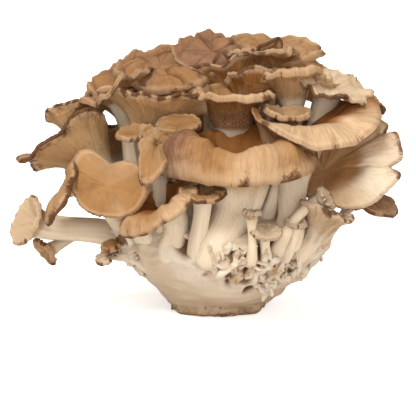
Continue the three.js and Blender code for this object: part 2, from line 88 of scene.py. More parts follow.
# ---- Small helpers ---------------------------------------------------------------------------------
def lerp(a, b, t):
    return a + (b - a) * t


def smooth(low, high, value):
    """0 below low, 1 above high and smooth between."""
    t = np.clip((value - low) / (high - low), 0.0, 1.0)
    return t * t * (3 - 2 * t)


def unit(vector):
    return vector / np.linalg.norm(vector)


def heading(turn):
    """The level direction at a turn: 0 at the front (-Y), 90 at the right (+X)."""
    return np.array([math.sin(math.radians(turn)), -math.cos(math.radians(turn)), 0.0])


def leaning(tilt, turn):
    return heading(turn) * math.sin(math.radians(tilt)) + np.array([0, 0, math.cos(math.radians(tilt))])


def ripple(angles, counts, seed, fall=1.0):
    """A line that wanders around a circle, about -1 to 1, made of waves of the given counts."""
    rng = np.random.default_rng(seed)
    line = np.zeros_like(angles)
    power = 0.0
    for count in counts:
        share = float(count) ** -fall
        line = line + share * np.sin(count * angles + rng.uniform(0, 2 * math.pi))
        power += share * share
    return line / math.sqrt(2 * power)


def field(points, size, seed, waves=9):
    """A smooth random field through space, about -1 to 1, with lumps about size across."""
    rng = np.random.default_rng(seed)
    value = np.zeros(points.shape[:-1])
    for _ in range(waves):
        direction = unit(rng.normal(size=3)) * (math.pi / (size * rng.uniform(0.7, 1.5)))
        value = value + np.sin(points @ direction + rng.uniform(0, 2 * math.pi))
    return value / math.sqrt(waves / 2) * 0.6


def turned(angles, at_degrees, width_degrees):
    """A bell around one angle of a circle."""
    away = (angles - math.radians(at_degrees) + math.pi) % (2 * math.pi) - math.pi
    return np.exp(-((away / math.radians(width_degrees)) ** 2))


# ---- Meshes from rings of points -------------------------------------------------------------------
def ring_faces(rings, around):
    """Quads between rings, and a fan to the pole at each end; points run pole, rings, pole."""
    k = np.arange(around)
    after = (k + 1) % around
    start = 1 + np.arange(rings - 1)[:, None] * around
    quads = np.stack([start + k, start + after, start + around + after, start + around + k], axis=-1)
    last = 1 + rings * around
    top = 1 + (rings - 1) * around
    first_fan = np.stack([np.zeros(around, int), 1 + after, 1 + k], axis=-1)
    last_fan = np.stack([np.full(around, last), top + k, top + after], axis=-1)
    return quads.reshape(-1, 4).tolist() + first_fan.tolist() + last_fan.tolist()


def ring_object(name, first_pole, rings, last_pole, attributes):
    """A closed, smooth-shaded object; attributes are arrays of one value per point."""
    count, around, _ = rings.shape
    points = np.vstack([first_pole[None], rings.reshape(-1, 3), last_pole[None]])
    mesh = bpy.data.meshes.new(name)
    mesh.from_pydata((points * TO_FRAME).tolist(), [], ring_faces(count, around))
    for key, values in attributes.items():
        width = "FLOAT_VECTOR" if values.ndim == 2 else "FLOAT"
        attribute = mesh.attributes.new(key, width, "POINT")
        attribute.data.foreach_set("vector" if values.ndim == 2 else "value", values.astype(np.float32).ravel())
    mesh.shade_smooth()
    mesh.update()
    made = bpy.data.objects.new(name, mesh)
    bpy.context.scene.collection.objects.link(made)
    return made


def with_poles(rings, first, last):
    """Ring values as one list per point, with the two poles' values at its ends."""
    flat = rings.reshape(-1, *rings.shape[2:])
    return np.concatenate([np.array([first], float), flat, np.array([last], float)])


# ---- Base block ------------------------------------------------------------------------------------
SECTION = [
    (FOOT_RADIUS, 0.0),
    (FOOT_RADIUS + 3, 3.0),
    (BLOCK_RADIUS * 0.72, BLOCK_SHOULDER * 0.42),
    (BLOCK_RADIUS * 0.93, BLOCK_SHOULDER * 0.75),
    (BLOCK_RADIUS, BLOCK_SHOULDER),
    (BLOCK_RADIUS * 0.86, lerp(BLOCK_SHOULDER, BLOCK_HEIGHT, 0.55)),
    (BLOCK_RADIUS * 0.45, lerp(BLOCK_SHOULDER, BLOCK_HEIGHT, 0.92)),
    (0.0, BLOCK_HEIGHT),
]


def section_point(level):
    """[radius, height] of the block at a level from 0 at the foot's edge to 1 at the crown."""
    knots = np.array([SECTION[0]] + SECTION + [SECTION[-1]])
    place = np.clip(level, 0, 1) * (len(SECTION) - 1)
    k = np.minimum(place.astype(int), len(SECTION) - 2)
    t = (place - k)[..., None]
    a, b, c, d = knots[k], knots[k + 1], knots[k + 2], knots[k + 3]
    return 0.5 * (2 * b + (c - a) * t + (2 * a - 5 * b + 4 * c - d) * t**2 + (3 * b - a - 3 * c + d) * t**3)


def block_points(turns, levels):
    """Points of the block's skin for arrays of turns in degrees and levels."""
    radius, height = np.moveaxis(section_point(levels), -1, 0)
    swell = np.sin(math.pi * np.minimum(1, levels * 1.2))
    angle = np.radians(turns)
    lumps = 1 + swell * (0.05 * np.sin(2 * angle + math.radians(40)) + 0.04 * np.sin(5 * angle))
    return np.stack([np.sin(angle) * radius * lumps, -np.cos(angle) * radius * lumps, height], axis=-1)


def block_object():
    around, count = 420, 170
    turns = np.linspace(0, 360, around, endpoint=False)[None, :]
    levels = (np.linspace(0, 0.985, count) ** 0.9)[:, None]
    turns, levels = np.broadcast_arrays(turns, levels)
    points = block_points(turns, levels)
    outward = points * np.array([1, 1, 0]) / np.linalg.norm(points[..., :2], axis=-1, keepdims=True)
    outward = outward + np.array([0, 0, -0.35])
    above_foot = smooth(0.0, 0.09, levels)
    rough = roughness_of_block(turns, levels)
    relief = 1.6 * field(points, 17, 3) + 0.6 * field(points, 7, 4)
    relief = relief + rough * (1.5 * field(points * [1, 1, 0.45], 5, 5) + 0.8 * field(points * [1, 1, 0.5], 2.4, 6))
    relief = relief + 0.10 * field(points * [1, 1, 3], 2.2, 7) + 0.35 * field(points * [0.5, 0.5, 2.2], 4.5, 8)
    relief = relief - pits(turns, levels)
    points = points + outward * (relief * above_foot)[..., None]
    points = points + pedestals(points)
    points[..., 2] = np.maximum(points[..., 2], 0)
    ragged = ripple(np.radians(turns[0]), range(3, 40), 12, 0.6)
    foot = np.exp(-levels / 0.05) * ragged[None, :] * 0.7
    foot = foot + 1.6 * np.exp(-(((levels - 0.13) / 0.035) ** 2)) * smooth(-0.6, 0.8, ragged)[None, :]
    points = points + outward * np.array([1, 1, 0]) * foot[..., None]
    attributes = {
        "rough": with_poles(rough, 0, 0),
        "level": with_poles(levels, 0, 1),
        # painted shade in the pits, read by the block's material
        "pit": with_poles(pits(turns, levels) / 3.5, 0, 0),
        "stubs": with_poles(stub_zone(turns, levels), 0, 0),
        "crumbs": with_poles(smooth(0.05, 0.09, levels) * (1 - smooth(0.12, 0.2, levels)), 0, 0),
    }
    return ring_object("base_flesh", np.zeros(3), points, np.array([0, 0, BLOCK_HEIGHT]), attributes)


def pedestals(points):
    """Moves of the block's skin that raise it into a soft foot round every stem."""
    move = np.zeros_like(points)
    for m in MUSHROOMS:
        m = {**USUAL, **m}
        spine = stem_spine(m)
        radius = m["stem"][0]
        seat = bezier(spine, 0.08)
        rise = bezier_heading(spine, 0.1)
        away = points - seat
        across = away - (away @ rise)[..., None] * rise
        near = np.exp(-((np.linalg.norm(across, axis=-1) / (radius * 1.5 + 1.0)) ** 2))
        near = near * np.exp(-((np.linalg.norm(away, axis=-1) / (radius * 2.5 + 6.0)) ** 4))
        lift = near * (radius * 1.1 if radius > 3.6 else radius * 0.5)
        move = np.where((lift > np.linalg.norm(move, axis=-1))[..., None], lift[..., None] * rise, move)
    return move


def stub_zone(turns, levels):
    """Where small unopened mushrooms crowd the block: mostly low on the front right."""
    angle = np.radians(turns)
    zones = [(30, 22, 1.0), (-62, 9, 0.35), (140, 30, 0.5), (-150, 26, 0.4)]
    spread = sum(share * turned(angle, at, width) for at, width, share in zones)
    return np.clip(spread, 0, 1) * smooth(0.30, 0.38, levels) * (1 - smooth(0.55, 0.66, levels))


def roughness_of_block(turns, levels):
    """The knobbly zone under the front right mushrooms, and lesser ones round the sides and back."""
    angle = np.radians(turns)
    zones = [(32, 34, 1.0), (-62, 16, 0.8), (140, 40, 0.8), (-150, 34, 0.7), (88, 18, 0.6)]
    spread = sum(share * turned(angle, at, width) for at, width, share in zones)
    return np.clip(spread, 0, 1) * smooth(0.2, 0.42, levels)


def pits(turns, levels):
    """Depth in mm of the small hollows between the stubs, which the block's material paints dark as shade."""
    rng = np.random.default_rng(21)
    angle = np.radians(turns)
    depth = np.zeros(np.broadcast(turns, levels).shape)
    for _ in range(120):
        at = rng.choice([rng.normal(30, 22), rng.normal(-62, 10), rng.uniform(100, 250)], p=[0.68, 0.1, 0.22])
        level = rng.uniform(0.30, 0.62)
        wide = rng.uniform(1.2, 3.6)
        bell = turned(angle, at, wide) * np.exp(-(((levels - level) / (wide * rng.uniform(0.005, 0.012))) ** 2))
        depth = depth + bell * rng.uniform(2.0, 5.5)
    for at, level in ((-4, 0.60), (10, 0.57), (22, 0.60), (33, 0.53), (-20, 0.60), (46, 0.58)):
        depth = depth + 6.5 * turned(angle, at, 5) * np.exp(-(((levels - level) / 0.045) ** 2))
    return np.minimum(depth, 8)


# ---- Mushrooms -------------------------------------------------------------------------------------
USUAL = {
    "waves": (0, 1, 0),
    "lobes": (0, 1, 0),
    "flare": 15,
    "bend": 1.5,
    "flesh": 4.5,
    "margin": 0.6,
    "ruffle": 7,
    "ragged": 0.035,
    "splits": (),
    "tone": 0.5,
    # painted shade of the underside, 0 to 1: higher for caps deep in the cluster
    "painted_under_shade": 0.5,
    "wear": 0.4,
    "wrinkle": 0.5,
    "crumple": 0.12,
    # painted shade on the inner face of a funnel's upper skin
    "hollow": 0.0,
    "patches": (),
    "bleach": 0.0,
    "lines": 0.7,
    "torn": (),
    "plate": 0,
}


def roundabout(values, angles):
    """A value that changes smoothly from the front of a cap, by its sides, to its back."""
    front, side, back = values
    even = (front + back) / 2
    return (even + side) / 2 + (front - back) / 2 * np.cos(angles) + (even - side) / 2 * np.cos(2 * angles)


def cap_frame(m):
    """The cap's axis up through its mouth, its front direction and its side direction."""
    axis = leaning(*m["lean"])
    ahead = heading(m["facing"])
    front = unit(ahead - axis * ahead.dot(axis))
    return axis, front, np.cross(axis, front)


def stem_spine(m):
    """The four control points of the stem's middle line."""
    turn, level = m["root"]
    skin = block_points(np.array(float(turn)), np.array(float(level)))
    outward = unit(skin - np.array([0, 0, BLOCK_SHOULDER * 0.6]))
    start = skin - outward * ROOT_DEPTH
    end = np.array(m["neck"], float)
    handle = np.linalg.norm(end - start) * 0.4
    rise = unit(outward * 0.6 + np.array([0, 0, 0.4]))
    return start, start + rise * handle, end - cap_frame(m)[0] * handle, end


def bezier(p, t):
    s = 1 - t
    return p[0] * s**3 + p[1] * 3 * s * s * t + p[2] * 3 * s * t * t + p[3] * t**3


def bezier_heading(p, t):
    s = 1 - t
    return unit((p[1] - p[0]) * s * s + 2 * (p[2] - p[1]) * s * t + (p[3] - p[2]) * t * t)


def stem_rings(m, angles, seed):
    """Rings of a stem from its root inside the block up to just below its neck."""
    p = stem_spine(m)
    _, front, _ = cap_frame(m)
    root, neck, breadth = m["stem"]
    length = np.linalg.norm(p[3] - p[0])
    widening = min(length * math.tan(math.radians(m["flare"])), 3 * (neck - root) + 5)
    uneven = ripple(angles, range(2, 6), seed + 1, 0.8)
    fibres = ripple(angles, range(9, 60), seed + 2, 0.35)
    rings = []
    for t in np.linspace(0, 1, STEM_RINGS, endpoint=False):
        tangent = bezier_heading(p, t)
        ahead = unit(front - tangent * front.dot(tangent))
        side = np.cross(tangent, ahead)
        radius = lerp(root, neck, t * t * (3 - 2 * t)) + widening * (t**3 - t**2)
        radius = radius * (1 + 0.16 * math.exp(-t * length / 5.0))
        fade = 1 - smooth(0.75, 1.0, t)
        radius = radius * (1 + fade * (0.08 * uneven + 0.007 * fibres))
        middle = bezier(p, t)
        rings.append(middle + np.outer(np.cos(angles) * radius, ahead) + np.outer(np.sin(angles) * radius * breadth, side))
    return np.array(rings)


def softened(values, width_degrees):
    """A closed line of values, blurred by a bell of the given width."""
    count = len(values)
    away = np.minimum(np.arange(count), count - np.arange(count)) * 360.0 / count
    bell = np.exp(-((away / width_degrees) ** 2))
    return np.real(np.fft.ifft(np.fft.fft(values) * np.fft.fft(bell / bell.sum())))


def knotted(knots, angles):
    """Reach and rim angle from knots of (angle, reach, rim angle), joined smoothly round the cap."""
    knots = sorted((at % 360, reach, rim) for at, reach, rim in knots)
    places, reaches, rims = zip(*knots)
    degrees = np.degrees(angles)
    return [softened(np.interp(degrees, places, values, period=360), 9) for values in (reaches, rims)]


def cap_shape(m, angles, seed):
    """Reach and rim angle of a cap at each angle around it, with its lobes, ruffles and splits."""
    if "around" in m:
        reach, rim = knotted(m["around"], angles)
    else:
        lobe, lobes, lobe_turn = m["lobes"]
        wave, waves, wave_turn = m["waves"]
        reach = roundabout(m["reach"], angles) * (1 + lobe * np.sin(lobes * angles + math.radians(lobe_turn)))
        rim = roundabout(m["curl"], angles) + wave * np.sin(waves * angles + math.radians(wave_turn))
    reach = reach * (1 + m["ragged"] * (ripple(angles, range(4, 16), seed + 3, 0.7)))
    reach = reach + 0.30 * ripple(angles, range(18, 90), seed + 4, 0.25)
    rim = rim + m["ruffle"] * ripple(angles, range(3, 12), seed + 5, 0.5)
    for at, width, depth in m["splits"]:
        reach = reach * (1 - depth * turned(angles, at, width))
    return np.maximum(reach, 1.0), rim


def crease_lines(points, seed):
    """1 along wandering lines where a cap's skin folds in, 0 between them."""
    wide = np.exp(-((field(points, 13, seed + 15) / 0.10) ** 2))
    narrow = np.exp(-((field(points, 8, seed + 16) / 0.09) ** 2))
    return np.clip(0.8 * wide + 0.5 * narrow, 0, 1)


def cap_rings(m, angles, seed):
    """Underside points and the direction that the flesh rises in, ring by ring from neck to rim."""
    axis, front, side = cap_frame(m)
    _, neck, breadth = m["stem"]
    outward = np.outer(np.cos(angles), front) + np.outer(np.sin(angles), side)
    reach, rim = cap_shape(m, angles, seed)
    shares = np.linspace(0, 1, BEND_STEPS + 1)[:, None]
    turned_over = smooth(*m["fold"], shares) if "fold" in m else shares ** m["bend"]
    slope = np.radians(lerp(m["flare"], rim, turned_over))
    middle = (slope[1:] + slope[:-1]) / 2
    stride = reach / BEND_STEPS
    zero = np.zeros((1, len(angles)))
    out = np.concatenate([zero, np.cumsum(np.sin(middle) * stride, axis=0)])
    rise = np.concatenate([zero, np.cumsum(np.cos(middle) * stride, axis=0)])
    start = np.array(m["neck"], float)
    start = start + np.outer(np.cos(angles) * neck, front) + np.outer(np.sin(angles) * neck * breadth, side)
    points = start + out[..., None] * outward + rise[..., None] * axis
    flesh = -np.cos(slope)[..., None] * outward + np.sin(slope)[..., None] * axis
    lumps = 0.7 * field(points, 13, seed + 6) + 0.35 * field(points, 6, seed + 7)
    lumps = lumps + m["wrinkle"] * ripple(angles, range(7, 22), seed + 8, 0.4) * shares**2
    crease = crease_lines(points, seed)
    folds = 1.4 * field(points, 9, seed + 12) - 2.2 * crease * smooth(0.1, 0.5, shares)
    lumps = lumps + m["crumple"] * folds * (1 - 0.6 * smooth(0.75, 1.0, shares))
    points = points + flesh * (lumps * smooth(0.05, 0.4, shares))[..., None]
    inside = 1 - smooth(math.radians(62), math.radians(100), slope)
    return points, flesh, shares, crease * np.clip(m["crumple"], 0, 1), inside


def filled_throat(over, axis):
    """The upper skin of a shallow cap, with its middle filled to a soft bowl."""
    last = 12
    middle = over[last].mean(axis=0)
    dip = 0.22 * np.linalg.norm(over[last] - middle, axis=-1).mean()
    share = (np.arange(last) / last)[:, None, None]
    bowl = middle + (over[last] - middle) * share - axis * dip * (1 - share**2)
    return np.concatenate([bowl, over[last:]])


def mushroom_object(m, around, seed):
    """One mushroom as a closed skin: up the stem, out under the cap, round the rim and back over."""
    m = {**USUAL, **m}
    angles = np.linspace(0, 2 * math.pi, around, endpoint=False)
    stem = stem_rings(m, angles, seed)
    under, flesh, shares, crease, inside = cap_rings(m, angles, seed)
    thick = lerp(m["flesh"], RIM_THICKNESS, shares**0.7) + m["margin"] * np.exp(-(((shares - 0.93) / 0.06) ** 2))
    over = under + flesh * (thick * (1 + 0.12 * ripple(angles, range(3, 30), seed + 9, 0.5)))[..., None]
    if m["flare"] >= 30 or m["plate"]:
        over = filled_throat(over, cap_frame(m)[0])
    beyond = under[-1] - under[-2]
    beyond = beyond / np.linalg.norm(beyond, axis=-1, keepdims=True)
    across = over[-1] - under[-1]
    half = np.linalg.norm(across, axis=-1, keepdims=True) / 2
    edge = []
    for step in range(1, EDGE_RINGS + 1):
        turn = math.pi * step / (EDGE_RINGS + 1)
        edge.append(under[-1] + across * (0.5 - 0.5 * math.cos(turn)) + beyond * half * math.sin(turn))
    rings = np.concatenate([stem, under, np.array(edge), over[::-1]])
    axis = cap_frame(m)[0]
    hollow = over[0].mean(axis=0)
    first = bezier(stem_spine(m), 0.0)
    attributes = mushroom_attributes(m, angles, shares[:, 0], seed)
    bare = np.zeros((STEM_RINGS, around))
    # Painted shade along the crease lines where the upper skin folds in.
    edge_crease_shade = np.repeat(crease[-1:], EDGE_RINGS, axis=0)
    crease_shade = np.concatenate([bare, crease * 0.3, edge_crease_shade, crease[::-1]])
    attributes["crease"] = with_poles(crease_shade, 0, 0)
    # Painted shade in the funnel: the inner face of the upper skin, times the cap's hollow value.
    funnel_shade = np.concatenate([bare, 0 * inside, np.repeat(inside[-1:], EDGE_RINGS, axis=0), inside[::-1]])
    attributes["hollow"] = with_poles(funnel_shade * m["hollow"], 0, m["hollow"])
    return ring_object("skin_" + m["name"], first, rings, hollow, attributes)


def mushroom_attributes(m, angles, shares, seed):
    """What the material and the gills read at each point of a mushroom."""
    around = len(angles)
    stem_share = np.linspace(-1, 0, STEM_RINGS, endpoint=False)
    share = np.concatenate([stem_share, shares, np.ones(EDGE_RINGS), shares[::-1]])
    part = np.concatenate(
        [
            np.zeros(STEM_RINGS),
            np.ones(len(shares)),
            np.linspace(1, 2, EDGE_RINGS + 2)[1:-1],
            np.full(len(shares), 2.0),
        ]
    )
    share = np.broadcast_to(share[:, None], (len(share), around))
    part = np.broadcast_to(part[:, None], share.shape)
    window = smooth(-0.45, 0.1, share) * (1 - smooth(0.9, 0.985, share)) * (part < 1.5)
    sharp = np.where(np.arange(around) % 2 == 0, 1.0, -1.0)[None, :]
    gill = window * sharp * (0.55 + 0.45 * ripple(angles, range(5, 30), seed + 10, 0.3))
    size = max(m["reach"])
    fibre = np.stack(
        [np.broadcast_to(np.cos(angles), share.shape), np.broadcast_to(np.sin(angles), share.shape), share * size / 20],
        axis=-1,
    )
    patchy = smooth(0.1, 1.1, ripple(angles, range(2, 26), seed + 11, 0.5) + 2 * m["wear"] - 0.6)
    worn = patchy[None, :] * smooth(0.78, 0.97, share)
    tone = np.full(share.shape, float(m["tone"])) + 0.12 * ripple(angles, range(1, 7), seed + 14, 0.5)
    for at, width, darker in m["patches"]:
        tone = tone + darker * turned(angles, at, width)
    # Painted shade of the underside, one value for the whole cap.
    painted_under_shade = np.full(share.shape, float(m["painted_under_shade"]))
    lines = np.full(share.shape, float(m["lines"]))
    bleach = np.full(share.shape, float(m["bleach"]))
    for at, width, start in m["torn"]:
        bleach = bleach + turned(angles, at, width) * smooth(start, start + 0.2, share)
    bleach = np.minimum(bleach, 1)
    return {
        "bleach": with_poles(bleach, m["bleach"], m["bleach"]),
        "lines": with_poles(lines, m["lines"], m["lines"]),
        "share": with_poles(share, -1, 0),
        "part": with_poles(part, 0, 2),
        "gill": with_poles(gill, 0, 0),
        "fibre": with_poles(fibre, (0, 0, -1), (0, 0, 0)),
        "worn": with_poles(worn, 0, 0),
        "tone": with_poles(tone, m["tone"], m["tone"]),
        "painted_under_shade": with_poles(painted_under_shade, m["painted_under_shade"], m["painted_under_shade"]),
    }


